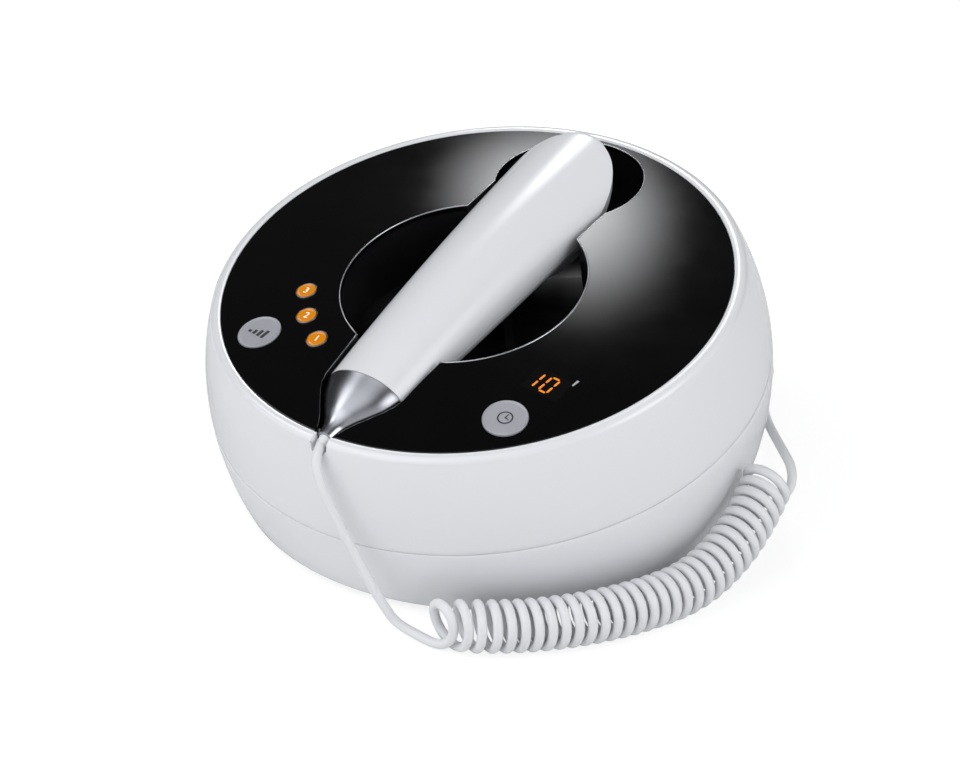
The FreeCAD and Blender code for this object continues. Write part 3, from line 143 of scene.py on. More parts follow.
def round_edges(piece, test, width, steps):
    """Bevels the edges whose two ends both pass a test on their place."""
    pick(piece)
    bpy.ops.object.mode_set(mode="EDIT")
    bpy.ops.mesh.select_mode(type="EDGE")
    bpy.ops.mesh.select_all(action="DESELECT")
    mesh = bmesh.from_edit_mesh(piece.data)
    for edge in mesh.edges:
        edge.select_set(all(test(vertex.co) for vertex in edge.verts))
    bmesh.update_edit_mesh(piece.data)
    bpy.ops.mesh.bevel(offset=width, segments=steps, affect="EDGES")
    bpy.ops.object.mode_set(mode="OBJECT")


def tidy(piece):
    """Merges doubles and turns the faces outwards."""
    pick(piece)
    bpy.ops.object.mode_set(mode="EDIT")
    bpy.ops.mesh.select_all(action="SELECT")
    bpy.ops.mesh.remove_doubles(threshold=SAME_PLACE)
    bpy.ops.mesh.normals_make_consistent(inside=False)
    bpy.ops.object.mode_set(mode="OBJECT")


def carve(piece, cutter, operation="DIFFERENCE"):
    """Cuts one shape out of another and throws the cutter away."""
    tidy(cutter)
    pick(piece)
    knife = piece.modifiers.new("carve", "BOOLEAN")
    knife.object = cutter
    knife.operation = operation
    knife.solver = "MANIFOLD"
    bpy.ops.object.modifier_apply(modifier=knife.name)
    bpy.data.objects.remove(cutter)


def drum(radius, depth, place, vertices=96):
    """A round cutter that stands on its place and reaches depth along its own Z."""
    pick()
    bpy.ops.mesh.primitive_cylinder_add(vertices=vertices, radius=radius * MM, depth=depth * MM)
    cutter = bpy.context.object
    cutter.matrix_world = place @ Matrix.Translation((0, 0, depth * MM / 2))
    return cutter


def block(size, place):
    """A cutter box centred on its place."""
    pick()
    bpy.ops.mesh.primitive_cube_add(size=1)
    cutter = bpy.context.object
    cutter.matrix_world = place @ Matrix.Diagonal((size[0] * MM, size[1] * MM, size[2] * MM, 1))
    return cutter


def hand_over(piece, body, finish, replaced=(), angle=32):
    """Tidies a piece, smooths it, gives it its finish and lets it ride on its body."""
    tidy(piece)
    bpy.ops.object.shade_smooth_by_angle(angle=math.radians(angle))
    piece.data.materials.clear()
    piece.data.materials.append(finish)
    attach(piece, body)
    if replaced:
        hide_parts(*replaced)
    print(piece.name, len(piece.data.polygons), "faces")


def polished_copy(node, body, finish):
    """A merged copy of a CAD node whose shape is right, smoothed by angle."""
    piece = bpy.data.objects.new(node + "_dressed", nodes[node].data.copy())
    bpy.context.scene.collection.objects.link(piece)
    piece.matrix_world = nodes[node].matrix_world
    pick(piece)
    bpy.ops.mesh.customdata_custom_splitnormals_clear()
    tidy(piece)
    hand_over(piece, body, finish, (node,))


print("hands ready")

# %% [markdown]
# Finishes. Moulded plastic is never one flat colour: its tone drifts a little over the piece, its
# gloss changes where it was handled, and the mould leaves a very fine grain. One node group makes
# those three, from two noises in Object coordinates, and each material places it with its own values.

# %% The moulded surface, one group for every finish
moulded = bpy.data.node_groups.new("moulded_surface", "ShaderNodeTree")
for socket, start in (("Drift Scale", 18.0), ("Grain Scale", 2500.0), ("Stretch", 1.0)):
    way_in = moulded.interface.new_socket(name=socket, in_out="INPUT", socket_type="NodeSocketFloat")
    way_in.default_value = start
for socket in ("Tone", "Handling", "Grain"):
    moulded.interface.new_socket(name=socket, in_out="OUTPUT", socket_type="NodeSocketFloat")


def add(tree, kind, sockets=(), **values):
    """A node with some of its properties and inputs set."""
    item = tree.nodes.new(kind)
    for key, value in values.items():
        setattr(item, key, value)
    for key, value in dict(sockets).items():
        item.inputs[key].default_value = value
    return item


def wire(source, out, target, into):
    """Links an output of one node to an input of another."""
    source.id_data.links.new(source.outputs[out], target.inputs[into])


group_in = add(moulded, "NodeGroupInput")
group_out = add(moulded, "NodeGroupOutput")
where = add(moulded, "ShaderNodeTexCoord")
stretch = add(moulded, "ShaderNodeCombineXYZ", {"Y": 1.0, "Z": 1.0})
stretched = add(moulded, "ShaderNodeVectorMath", operation="MULTIPLY")
drift = add(moulded, "ShaderNodeTexNoise", {"Detail": 2.0})
handling = add(moulded, "ShaderNodeTexNoise", {"Scale": 55.0, "Detail": 4.0})
grain = add(moulded, "ShaderNodeTexNoise", {"Detail": 1.0})
wire(group_in, "Stretch", stretch, "X")
wire(where, "Object", stretched, 0)
wire(stretch, "Vector", stretched, 1)
wire(where, "Object", drift, "Vector")
wire(where, "Object", handling, "Vector")
wire(stretched, "Vector", grain, "Vector")
wire(group_in, "Drift Scale", drift, "Scale")
wire(group_in, "Grain Scale", grain, "Scale")
wire(drift, "Fac", group_out, "Tone")
wire(handling, "Fac", group_out, "Handling")
wire(grain, "Fac", group_out, "Grain")
print("group", moulded.name, [item.name for item in moulded.interface.items_tree])


# %% A finish from the group
MIX_FIRST, MIX_SECOND, MIX_RESULT = 6, 7, 2
NOISE_LOW, NOISE_HIGH = 0.3, 0.7
GRAIN_HEIGHT, COAT_ROUGHNESS, GLOW_DIP = 0.0002, 0.06, 0.82


def plain(*colour):
    """A screen colour, 0 to 255, as the light value that a shader takes."""
    return tuple(value / 255 / 12.92 if value < 10.3 else ((value / 255 + 0.055) / 1.055) ** 2.4
                 for value in colour)


def finish_of(name, colour, roughness, metallic=0.0, tone=0.05, spread=0.04, relief=0.02,
              grain_scale=2500.0, stretch_x=1.0, coat=0.0, glow=None, glow_strength=0.0):
    """A Principled material whose tone, gloss and relief come from the moulded surface."""
    material = bpy.data.materials.new(name)
    material.use_nodes = True
    tree = material.node_tree
    shader = tree.nodes["Principled BSDF"]
    surface = add(tree, "ShaderNodeGroup", node_tree=moulded)
    surface.inputs["Grain Scale"].default_value = grain_scale
    surface.inputs["Stretch"].default_value = stretch_x
    tint = add(tree, "ShaderNodeMix", data_type="RGBA")
    tint.inputs[MIX_FIRST].default_value = (*[value * (1 - tone) for value in colour], 1)
    tint.inputs[MIX_SECOND].default_value = (*[min(1, value * (1 + tone)) for value in colour], 1)
    gloss = add(tree, "ShaderNodeMapRange", {
        "From Min": NOISE_LOW, "From Max": NOISE_HIGH,
        "To Min": max(0.0, roughness - spread), "To Max": roughness + spread})
    bump = add(tree, "ShaderNodeBump", {"Strength": relief, "Distance": GRAIN_HEIGHT})
    wire(surface, "Tone", tint, "Factor")
    wire(tint, MIX_RESULT, shader, "Base Color")
    wire(surface, "Handling", gloss, "Value")
    wire(gloss, "Result", shader, "Roughness")
    wire(surface, "Grain", bump, "Height")
    wire(bump, "Normal", shader, "Normal")
    shader.inputs["Metallic"].default_value = metallic
    shader.inputs["Coat Weight"].default_value = coat
    shader.inputs["Coat Roughness"].default_value = COAT_ROUGHNESS
    if glow:
        light = add(tree, "ShaderNodeMix", data_type="RGBA")
        light.inputs[MIX_FIRST].default_value = (*[value * GLOW_DIP for value in glow], 1)
        light.inputs[MIX_SECOND].default_value = (*glow, 1)
        wire(surface, "Tone", light, "Factor")
        wire(light, MIX_RESULT, shader, "Emission Color")
        shader.inputs["Emission Strength"].default_value = glow_strength
    return material


SHELL_WHITE = (0.80, 0.805, 0.825)
WHITE_HOUSING = finish_of("white_gloss_housing", SHELL_WHITE, 0.13, tone=0.012, spread=0.03,
                          relief=0.004, coat=0.35)
WHITE_GRIP = finish_of("white_satin_grip", SHELL_WHITE, 0.21, tone=0.012, spread=0.03,
                       relief=0.004, coat=0.2)
BLACK_GLOSS = finish_of("black_gloss_plate", (0.002, 0.002, 0.0023), 0.10, tone=0.3, spread=0.02,
                        relief=0.003)
BLACK_TRAY = finish_of("black_gloss_tray", (0.0075, 0.0075, 0.0085), 0.22, tone=0.3, spread=0.04,
                       relief=0.01)
GREY_BUTTON = finish_of("grey_satin_button", plain(172, 172, 179), 0.45, metallic=0.25, tone=0.03,
                        relief=0.05)
BUTTON_MARK = finish_of("dark_button_mark", plain(48, 48, 52), 0.5, tone=0.15, relief=0.02)
AMBER_LENS = finish_of("amber_lamp_lens", plain(204, 122, 2), 0.2, tone=0.2, relief=0.02, coat=0.5,
                       glow=plain(250, 156, 0), glow_strength=0.2)
LAMP_NUMERAL = finish_of("white_lamp_numeral", plain(250, 243, 230), 0.4, tone=0.03,
                         glow=plain(255, 240, 220), glow_strength=0.35)
BRIGHT_RING = finish_of("bright_lamp_ring", plain(132, 128, 124), 0.24, metallic=1.0, tone=0.05,
                        relief=0.02)
SMOKED_LENS = finish_of("smoked_display_lens", (0.004, 0.004, 0.0045), 0.09, tone=0.3, spread=0.02,
                        relief=0.003)
AMBER_DIGIT = finish_of("amber_display_digit", plain(120, 60, 0), 0.5, tone=0.1,
                        glow=plain(255, 146, 16), glow_strength=1.0)
PLATE_MARK = finish_of("silver_plate_mark", plain(188, 188, 192), 0.35, metallic=0.3, tone=0.04)
# A pale polished metal for the keyhole's bead: a painted highlight on the black plate's rounded edge.
PAINTED_HIGHLIGHT_EDGE = finish_of("painted_highlight_edge", plain(206, 207, 211), 0.2, metallic=1.0, tone=0.06)
SILVER_CONE = finish_of("satin_silver_cone", plain(176, 177, 183), 0.24, metallic=1.0, tone=0.04,
                        relief=0.01, grain_scale=900.0)
GREY_COLLAR = finish_of("pale_grey_collar", plain(206, 207, 212), 0.3, tone=0.03, relief=0.02)
ELECTRODE_METAL = finish_of("polished_electrode", plain(214, 212, 206), 0.14, metallic=1.0, tone=0.04)
WHITE_CORD = finish_of("white_soft_cord", (0.78, 0.785, 0.80), 0.38, tone=0.03, relief=0.03)
RUBBER = finish_of("grey_rubber", plain(70, 70, 72), 0.7, tone=0.15, relief=0.15, grain_scale=1500.0)
STEEL = finish_of("zinc_steel", plain(190, 190, 188), 0.3, metallic=1.0, tone=0.08)
BOARD_GREEN = finish_of("green_board", plain(30, 92, 58), 0.4, tone=0.2)
BLACK_PART = finish_of("black_moulded_part", (0.012, 0.012, 0.013), 0.42, tone=0.25, relief=0.06)
WHITE_LIGHT = finish_of("milky_light", plain(240, 236, 224), 0.4, tone=0.05)
FERRITE = finish_of("dark_ferrite", plain(58, 56, 56), 0.6, tone=0.2, relief=0.1)
SINK_METAL = finish_of("anodised_sink", plain(120, 122, 126), 0.4, metallic=0.9, tone=0.1, stretch_x=0.1)
CAPACITOR = finish_of("capacitor_sleeve", plain(32, 44, 92), 0.35, tone=0.2)
INLET_PLASTIC = finish_of("inlet_plastic", (0.02, 0.02, 0.021), 0.38, tone=0.2, relief=0.06)
print("finishes", len(bpy.data.materials))

# %% [markdown]
# The cord leaves the handpiece's tail, hangs down the front, lies curled along the right side and
# returns to a gland at the rear. A curled cord is a spring of plastic: the turns of the spring are
# simply more control points of the same smooth line. The line is a NURBS spline, which rounds its
# own corners, and the tube is made a mesh.

# %% The cord's route
DIAMETER = 3.9 * MM
TURN_RADIUS = 8.8 * MM
RING, RING_OUT, REST, CLIMB = 125.0 * MM, 1.0 * MM, 10.9 * MM, 26.0 * MM
FROM_BEARING, TO_BEARING, CLIMB_FROM, TILT_SHARE = -65.8, 6.0, 0.62, 0.5
FIRST_LEAN, FAN_TURNS, START_PHASE, END_PHASE = 62.0, 5.0, -100.0, -90.0
LASTING_LEAN = 20.0
LEAST_PITCH, FAN_PITCH = 4.56 * MM, 4.2 * MM
LEAD_IN, LEAD_OUT, LAST_STEP = 11.0, 5.6, 0.6
AXIS_STEPS, COIL_POINTS = 600, 500


def coil_axis(share):
    """The line that the coil winds round: along the table, then climbing beside the housing."""
    heading = math.radians(FROM_BEARING + (TO_BEARING - FROM_BEARING) * share)
    part = max(0, (share - CLIMB_FROM) / (1 - CLIMB_FROM))
    climb = part * part
    ring = RING + RING_OUT * climb
    return Vector((ring * math.cos(heading), ring * math.sin(heading), REST + CLIMB * climb))


def count_turns(steps):
    """The turns made at each step of the axis, further apart where it bends and where it fans out."""
    line = [coil_axis(number / steps) for number in range(-1, steps + 1)]
    turns = [0.0]
    for before, at, after in zip(line, line[1:], line[2:]):
        step = after - at
        bend = (at - before).angle(step) / step.length
        fan = max(0, 1 - turns[-1] / FAN_TURNS) ** 2
        pitch = LEAST_PITCH / (1 - TURN_RADIUS * bend) + FAN_PITCH * fan
        turns.append(turns[-1] + step.length / pitch)
    last = (END_PHASE - START_PHASE) / 360
    whole = math.floor(turns[-1] - last) + last
    return [turn * whole / turns[-1] for turn in turns]


TURNS = count_turns(AXIS_STEPS)


def coil_point(turn):
    """A point of the curled cord after a number of turns, from the bottom outwards and up."""
    above = next((number for number in range(1, AXIS_STEPS + 1) if TURNS[number] >= turn), AXIS_STEPS)
    low, high = TURNS[above - 1], TURNS[above]
    share = (above - 1 + (turn - low) / (high - low)) / AXIS_STEPS
    along = coil_axis(share + 0.001) - coil_axis(share - 0.001)
    along = Vector((along.x, along.y, along.z * TILT_SHARE)).normalized()
    fan = FIRST_LEAN * max(0, 1 - turn / FAN_TURNS) ** 2
    lean = math.radians(max(fan, LASTING_LEAN * (1 - turn / TURNS[-1])))
    along = Matrix.Rotation(lean, 3, "Z") @ along
    outward = along.cross(Vector((0, 0, 1))).normalized()
    upward = outward.cross(along)
    phase = math.radians(360 * turn + START_PHASE)
    return coil_axis(share) + (outward * math.cos(phase) + upward * math.sin(phase)) * TURN_RADIUS


def coil_way(turn):
    """Which way the curled cord runs there."""
    return (coil_point(turn + 0.001) - coil_point(turn - 0.001)).normalized()


LAST = TURNS[-1]
coil_in = coil_point(0) - coil_way(0) * DIAMETER
coil_out = coil_point(LAST) + coil_way(LAST) * LAST_STEP * MM
DROP = [(0.0, -112.95, 72.52), (1.6, -119.3, 70.6), (5.6, -122.2, 63.0), (10.4, -121.9, 53.0),
        (15.6, -121.0, 42.4), (21.2, -119.6, 31.6), (26.4, -118.2, 21.2), (31.4, -116.4, 11.8)]
RETURN = [(131.5, 21.8, 33.2), (127.0, 28.4, 35.8), (118.0, 38.2, 34.4), (107.0, 51.4, 30.8),
          (95.6, 66.0, 26.2), (85.8, 80.4, 21.4), (77.0, 95.5, 17.5), (70.5, 109.0, 15.8),
          (67.1, 116.4, 15.6), (65.06, 122.26, 15.8), (61.96, 124.66, 16.4), (58.04, 124.88, 17.0),
          (54.69, 122.84, 17.6), (52.9, 118.8, 18.0), (50.64, 113.73, 18.0)]
route = [Vector(point) * MM for point in DROP]
route += [coil_in - coil_way(0) * LEAD_IN * MM, coil_in]
route += [coil_point(LAST * number / COIL_POINTS) for number in range(COIL_POINTS + 1)]
route += [coil_out, coil_out + coil_way(LAST) * LEAD_OUT * MM]
route += [Vector(point) * MM for point in RETURN]
print("route points", len(route), "turns", round(LAST, 2))

# %% The cord as a tube
pick()
line = bpy.data.curves.new("handpiece_cord", "CURVE")
line.dimensions = "3D"
spline = line.splines.new("NURBS")
spline.points.add(len(route) - 1)
for point, place in zip(spline.points, route):
    point.co = (*place, 1)
spline.order_u = 3
spline.use_endpoint_u = True
line.resolution_u = 3
cord = bpy.data.objects.new("handpiece_cord", line)
bpy.context.scene.collection.objects.link(cord)
bpy.context.view_layer.update()
bare = bpy.data.meshes.new_from_object(cord.evaluated_get(bpy.context.evaluated_depsgraph_get()))
line.bevel_depth = DIAMETER / 2
line.bevel_resolution = 4
line.use_fill_caps = True
pick(cord)
bpy.ops.object.convert(target="MESH")
bpy.ops.object.shade_smooth()
cord.data.materials.append(WHITE_CORD)
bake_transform(cord)
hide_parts("cord_drop", "cord_coil", "cord_return")

# %% [markdown]
# The housing is a bowl and a ring, injection moulded in glossy white. Its side is two arcs that meet
# at the belly, so each ring of edges is simply a circle whose radius follows from its height. Seam
# and rim are cut at the same slant of 12 degrees: the rings between them tilt more and more.

# %% The housing's side
AROUND = 192
TILT = math.radians(12)
SLANT = math.tan(TILT)
BELLY_RADIUS, BELLY_HEIGHT, LOWER_ARC, UPPER_ARC, WALL = 116.0, 57.0, 120.0, 110.0, 2.6
BOTTOM, INNER_FLOOR, SEAM, SEAM_GAP, SEAM_EDGE = 2.0, 4.6, 56.6, 0.15, 0.35


def side_radius(height, inset=0.0):
    """The housing's radius at a height, outside or a wall further in."""
    arc = LOWER_ARC if height < BELLY_HEIGHT else UPPER_ARC
    return BELLY_RADIUS - arc + math.sqrt((arc - inset) ** 2 - (BELLY_HEIGHT - height) ** 2)


def side_ring(level, slope, inset=0.0):
    """The ring in which the side meets a slanted plane that crosses the axis at a level."""
    ring = []
    for across, ahead in around(AROUND):
        height = level
        for settle in range(18):
            height = level + side_radius(height, inset) * ahead * slope
        radius = side_radius(height, inset)
        ring.append(Vector((radius * across, radius * ahead, height)) * MM)
    return ring


def flat_ring(radius, height):
    """A level ring round the housing's axis."""
    return [Vector((radius * across, radius * ahead, height)) * MM for across, ahead in around(AROUND)]


REAR_WALL, REAR_HALF, REAR_LOW, REAR_HIGH = 0.104, 0.040, 0.008, 0.050


def backed(ring):
    """The inner wall stands back behind the rear flat."""
    return [Vector((place.x, min(place.y, REAR_WALL), place.z))
            if abs(place.x) < REAR_HALF and REAR_LOW < place.z < REAR_HIGH else place for place in ring]


# %% Lower casing
SEAM_LOW = SEAM - SEAM_GAP / math.cos(TILT)
STEPS = 20
foot_edge = flat_ring(side_radius(BOTTOM), BOTTOM)
seam_edge = side_ring(SEAM_LOW, SLANT)
rings = [flat_ring(radius, BOTTOM) for radius in (6, 40, 80)] + [foot_edge]
rings += [side_ring(BOTTOM + (SEAM_LOW - BOTTOM) * step / STEPS, SLANT * step / STEPS)
          for step in range(1, STEPS)]
rings += [seam_edge, side_ring(SEAM_LOW, SLANT, WALL)]
rings += [backed(side_ring(INNER_FLOOR + (SEAM_LOW - INNER_FLOOR) * step / STEPS, SLANT * step / STEPS,
                           WALL)) for step in range(STEPS - 1, -1, -1)]
rings += [flat_ring(60, INNER_FLOOR), flat_ring(6, INNER_FLOOR)]
lower_casing = loft("lower_casing_bowl", rings, cap_first=True, cap_last=True)
round_edges(lower_casing, near(foot_edge), 3.0 * MM, 5)
round_edges(lower_casing, near(seam_edge), SEAM_EDGE * MM, 2)
tidy(lower_casing)

REAR = Matrix.Translation((0, 0.108, 0.029)) @ Matrix.Rotation(math.radians(-90), 4, "X")
SCREW_AT, FOOT_AT = 0.062, 0.082
carve(lower_casing, block((72, 40, 34), Matrix.Translation((0, 0.128, 0.029))))
carve(lower_casing, drum(5.15, 40, REAR @ Matrix.Translation((-0.015, 0, -0.02)), 64))
carve(lower_casing, block((10.9, 16.9, 40), REAR @ Matrix.Translation((0.015, 0, 0))))
gland_way = Matrix.Rotation(math.radians(66), 4, "Z") @ Matrix.Rotation(math.radians(90), 4, "Y")
carve(lower_casing, drum(4.65, 30, Matrix.Translation((0, 0, 0.018)) @ gland_way
                         @ Matrix.Translation((0, 0, 0.095)), 64))
for side in (-1, 1):
    for fore in (-1, 1):
        carve(lower_casing, drum(2.9, 10, Matrix.Translation((side * SCREW_AT, fore * SCREW_AT, 0)), 32))
for across, ahead in around(4):
    carve(lower_casing, drum(8.1, 3, Matrix.Translation((FOOT_AT * across, FOOT_AT * ahead, 0)), 64))
hand_over(lower_casing, "base", WHITE_HOUSING, ("lower_casing",))

# %% [markdown]
# The upper ring carries a rounded rim, and inside it a seat and a ledge for the black plate. The
# plate's own frame, tilted by 12 degrees, is used for everything that sits on top. A notch in front
# lets the cord out, cut by a drum and a block: wide for the cone's end, then narrow for the cord.

# %% The plate's frame
RIM, PLATE_BACK = 99.6, 9.6
PLATE = (Matrix.Translation(Vector((0, -PLATE_BACK, RIM - PLATE_BACK * SLANT)) * MM)
         @ Matrix.Rotation(TILT, 4, "X"))
PLATE_RADIUS, DOME_RISE = 103.5, 7.3
DOME_RADIUS = (PLATE_RADIUS ** 2 + DOME_RISE ** 2) / (2 * DOME_RISE)


def spot(across, along, out):
    """A place in the plate's own axes, in millimetres."""
    return PLATE @ (Vector((across, along, out)) * MM)


def dome(across, along):
    """How far the plate's dome rises there."""
    return math.sqrt(DOME_RADIUS ** 2 - across ** 2 - along ** 2) - DOME_RADIUS + DOME_RISE


def plate_place(across, along, out):
    """The plate's own axes, moved to a place."""
    return PLATE @ Matrix.Translation(Vector((across, along, out)) * MM)


def plate_ring(radius, out, count=AROUND):
    """A ring round the plate's middle."""
    return [spot(radius * across, radius * ahead, out) for across, ahead in around(count)]


# %% Upper casing
NOTCH, WIDE_NOTCH, WIDE_RUN, CORD_LEVEL, NOTCH_FROM = 3.4, 4.6, 20.4, -3, -83.5
SEAT, LEDGE_EDGE, SEAT_DEPTH, UNDER_RIM = 103.7, 99.5, 2.7, 7.4


def on_notch(place):
    """A test for places on the two upright sides of the cord's notch, outside the plate's seat."""
    flat = PLATE.inverted() @ place / MM
    return abs(abs(flat.x) - NOTCH) < 0.02 and flat.y < -104.6 and flat.z > CORD_LEVEL - 0.05


SEAM_HIGH = SEAM + SEAM_GAP / math.cos(TILT)
LEDGE = RIM - UNDER_RIM / math.cos(TILT)
OUTER_STEPS, INNER_STEPS = 22, 10
seam_edge = side_ring(SEAM_HIGH, SLANT)
rim_edge = side_ring(RIM, SLANT)
seat_edge = plate_ring(SEAT, 0)
rings = [side_ring(SEAM_HIGH + (RIM - SEAM_HIGH) * step / OUTER_STEPS, SLANT)
         for step in range(OUTER_STEPS)]
rings += [rim_edge, seat_edge, plate_ring(SEAT, -SEAT_DEPTH), plate_ring(LEDGE_EDGE, -SEAT_DEPTH),
          plate_ring(LEDGE_EDGE, -UNDER_RIM)]
rings += [side_ring(SEAM_HIGH + (LEDGE - SEAM_HIGH) * step / INNER_STEPS, SLANT, WALL)
          for step in range(INNER_STEPS, -1, -1)]
rings += [seam_edge]
upper_casing = loft("upper_casing_ring", rings)
round_edges(upper_casing, near(rim_edge), 2.2 * MM, 6)
round_edges(upper_casing, near(seat_edge), 0.3 * MM, 2)
tidy(upper_casing)
round_edges(upper_casing, near(seam_edge), SEAM_EDGE * MM, 2)
carve(upper_casing, drum(33.2, 37, plate_place(0, 70.5, -36.2), 128))
forward = Matrix.Rotation(math.radians(90), 4, "X")
for half, run in ((WIDE_NOTCH, WIDE_RUN), (NOTCH, 40)):
    carve(upper_casing, drum(half, run, plate_place(0, NOTCH_FROM, CORD_LEVEL) @ forward, 64))
    carve(upper_casing, block((2 * half, run, 20), plate_place(0, NOTCH_FROM - run / 2, CORD_LEVEL + 10)))
round_edges(upper_casing, on_notch, 1.0 * MM, 4)
hand_over(upper_casing, "base", WHITE_HOUSING, ("upper_casing",))

# %% [markdown]
# The top plate is a shallow dome of black gloss plastic with a keyhole in it. A disc is lofted from
# many rings, so that its gloss stays even, and the keyhole, the button holes, the lamp holes and the
# display window are cut out. Two close rings at the edge hold the gloss up to the small rounding.

# %% Top plate
PLATE_FACETS, PLATE_THICK = 160, 2.6
under_radius = DOME_RADIUS - PLATE_THICK
disc = [plate_ring(radius, math.sqrt(under_radius ** 2 - radius ** 2) - DOME_RADIUS + DOME_RISE,
                   PLATE_FACETS) for radius in (2, 30, 60, 90, PLATE_RADIUS)]
plate_edge = plate_ring(PLATE_RADIUS, 0, PLATE_FACETS)
disc.append(plate_edge)
disc += [plate_ring(radius, dome(radius, 0), PLATE_FACETS)
         for radius in (103.1, 102.8, *range(100, 19, -4), 15, 10, 5, 2)]
top_plate = loft("black_top_plate", disc, cap_first=True, cap_last=True)
round_edges(top_plate, near(plate_edge), 0.25 * MM, 2)
tidy(top_plate)
BOWL, BOWL_RADIUS, WELL, WELL_RADIUS, NECK = -7.5, 50, 70.5, 31, 27
TAIL_SIDE = [(4.6, -104.5), (4.85, -101.6), (5.95, -98.8), (8.2, -95.0), (11.6, -90.2), (15.2, -84.9),
             (17.35, -80.9), (18.57, -76.5)]
HALF_SLOT = [(4.6, -123.5)] + TAIL_SIDE + [(22.476, BOWL), (NECK, BOWL), (NECK, WELL)]
SLOT = HALF_SLOT + [(-x, y) for x, y in reversed(HALF_SLOT)]


def keyhole(depth_low, depth_high):
    """The keyhole as one cutter: the bowl, the head's well and the slot between them."""
    outlines = [[spot(x, y, out) for x, y in SLOT] for out in (depth_low, depth_high)]
    cutter = loft("keyhole", outlines, True, True)
    tidy(cutter)
    deep = depth_high - depth_low
    carve(cutter, drum(BOWL_RADIUS, deep, plate_place(0, BOWL, depth_low), 192), "UNION")
    carve(cutter, drum(WELL_RADIUS, deep, plate_place(0, WELL, depth_low), 160), "UNION")
    return cutter


CUT_LOW, CUT_HIGH, LAMP_RING = -12, 14, 64
CUT_DEEP = CUT_HIGH - CUT_LOW
carve(top_plate, keyhole(CUT_LOW, CUT_HIGH))
BUTTONS = {"level": (-59.0, -66.8), "time": (59.0, -66.8)}
LAMPS = [(LAMP_RING * math.cos(math.radians(turn)), LAMP_RING * math.sin(math.radians(turn)) + BOWL)
         for turn in (238.4, 224.05, 209.7)]
for x, y in BUTTONS.values():
    carve(top_plate, drum(9.2, CUT_DEEP, plate_place(x, y, CUT_LOW), 96))
for x, y in LAMPS:
    carve(top_plate, drum(4.65, CUT_DEEP, plate_place(x, y, CUT_LOW), 64))
DISPLAY = plate_place(63.4, -44.0, 0) @ Matrix.Rotation(math.radians(-3), 4, "Z")
carve(top_plate, block((17.2, 12.7, CUT_DEEP), DISPLAY))
hand_over(top_plate, "base", BLACK_GLOSS, ("top_plate",), 25)
polished_copy("cradle_tray", "base", BLACK_TRAY)

# %% [markdown]
# Round the keyhole runs a hair-thin bright metal bead. Its pale metal is a painted highlight: it stands in
# for the light that the black plate's rounded edge catches, and draws the bright line round the keyhole. It
# is a loft of small circles along the keyhole's edge: beside the tail, round the bowl and the well.


# %% Bead on the keyhole's edge, a painted highlight
# The bead is thickest round the bowl, where the painted highlight is brightest, and thinnest beside the
# tail.
TAIL_BEAD, BOWL_BEAD, WELL_BEAD, BEAD_SINK, BOWL_MOUTH = 0.14, 0.34, 0.20, 0.12, -53.37


def arc_points(centre, radius, start, finish, count):
    """Points of an arc about a centre on the plate's middle line, between two angles in degrees."""
    turns = [math.radians(start + (finish - start) * number / count) for number in range(count + 1)]
    return [(radius * math.cos(turn), centre + radius * math.sin(turn)) for turn in turns]


def lip_path():
    """The keyhole's edge from the front right round to the front left, with the bead's radius."""
    front = math.degrees(math.asin((BOWL_MOUTH - BOWL) / BOWL_RADIUS))
    rear = math.degrees(math.acos(NECK / BOWL_RADIUS))
    well = math.degrees(math.acos(NECK / WELL_RADIUS))
    right = [(x, y, TAIL_BEAD) for x, y in TAIL_SIDE[1:]]
    right += [(x, y, BOWL_BEAD) for x, y in arc_points(BOWL, BOWL_RADIUS, front, rear, 40)]
    right += [(x, y, WELL_BEAD) for x, y in arc_points(WELL, WELL_RADIUS, -well, 90, 36)]
    return right + [(-x, y, radius) for x, y, radius in reversed(right[:-1])]


def bead(name, path, count=8):
    """A loft of small circles along a path on the dome."""
    rings = []
    for number, (x, y, radius) in enumerate(path):
        before, after = path[max(number - 1, 0)], path[min(number + 1, len(path) - 1)]
        way = Vector((after[0] - before[0], after[1] - before[1])).normalized()
        rings.append([spot(x + way.y * radius * aside, y - way.x * radius * aside,
                           dome(x, y) - BEAD_SINK + radius * upward) for aside, upward in around(count)])
    return loft(name, rings, True, True)


# The bead's pale metal paints the highlight on the plate's black edge.
highlight_bead = bead("keyhole_highlight_bead", lip_path())
hand_over(highlight_bead, "base", PAINTED_HIGHLIGHT_EDGE, (), 60)

# %% [markdown]
# The handpiece is an oval bar in two halves, which grows from tail to head and is cut aslant at the
# head. Each half is a loft whose section is a closed loop, an outer arc and an inner one: the wall is
# there from the start. Every point runs on to the slanted plane by itself, so the cut is exact.

# %% The grip's sections
STATIONS = (-76.0, 0.0, 60.0, 100.0)
HALF_WIDTH, HALF_HEIGHT = (17.7, 22.0, 25.1, 27.1), (11.0, 15.7, 15.7, 14.0)
MIDDLE = (-1.4, 1.0, 1.5, 1.5)
UPPER_PARTING, LOWER_PARTING, SHELL = -0.95, -1.05, 2.0
CUT_AT, CUT_SLOPE, OUTER_POINTS, INNER_POINTS, GRIP_STEPS = 49.9, 2.2303, 56, 40, 40


def through(values, along):
    """The smooth curve through a value at each of the four stations."""
    total = 0.0
    for number, value in enumerate(values):
        for other in range(4):
            if other != number:
                value *= (along - STATIONS[other]) / (STATIONS[number] - STATIONS[other])
        total += value
    return total


def grip_point(along, share, upper, inset):
    """A point of one half's arc, share running from its right parting edge to its left one."""
    width = through(HALF_WIDTH, along) - inset
    height = through(HALF_HEIGHT, along) - inset
    middle = through(MIDDLE, along)
    parting = UPPER_PARTING if upper else LOWER_PARTING
    low = math.asin((parting - middle) / height)
    if upper:
        turn = low + (math.pi - 2 * low) * share
    else:
        turn = low - (math.pi + 2 * low) * share
    return width * math.cos(turn), middle + height * math.sin(turn)


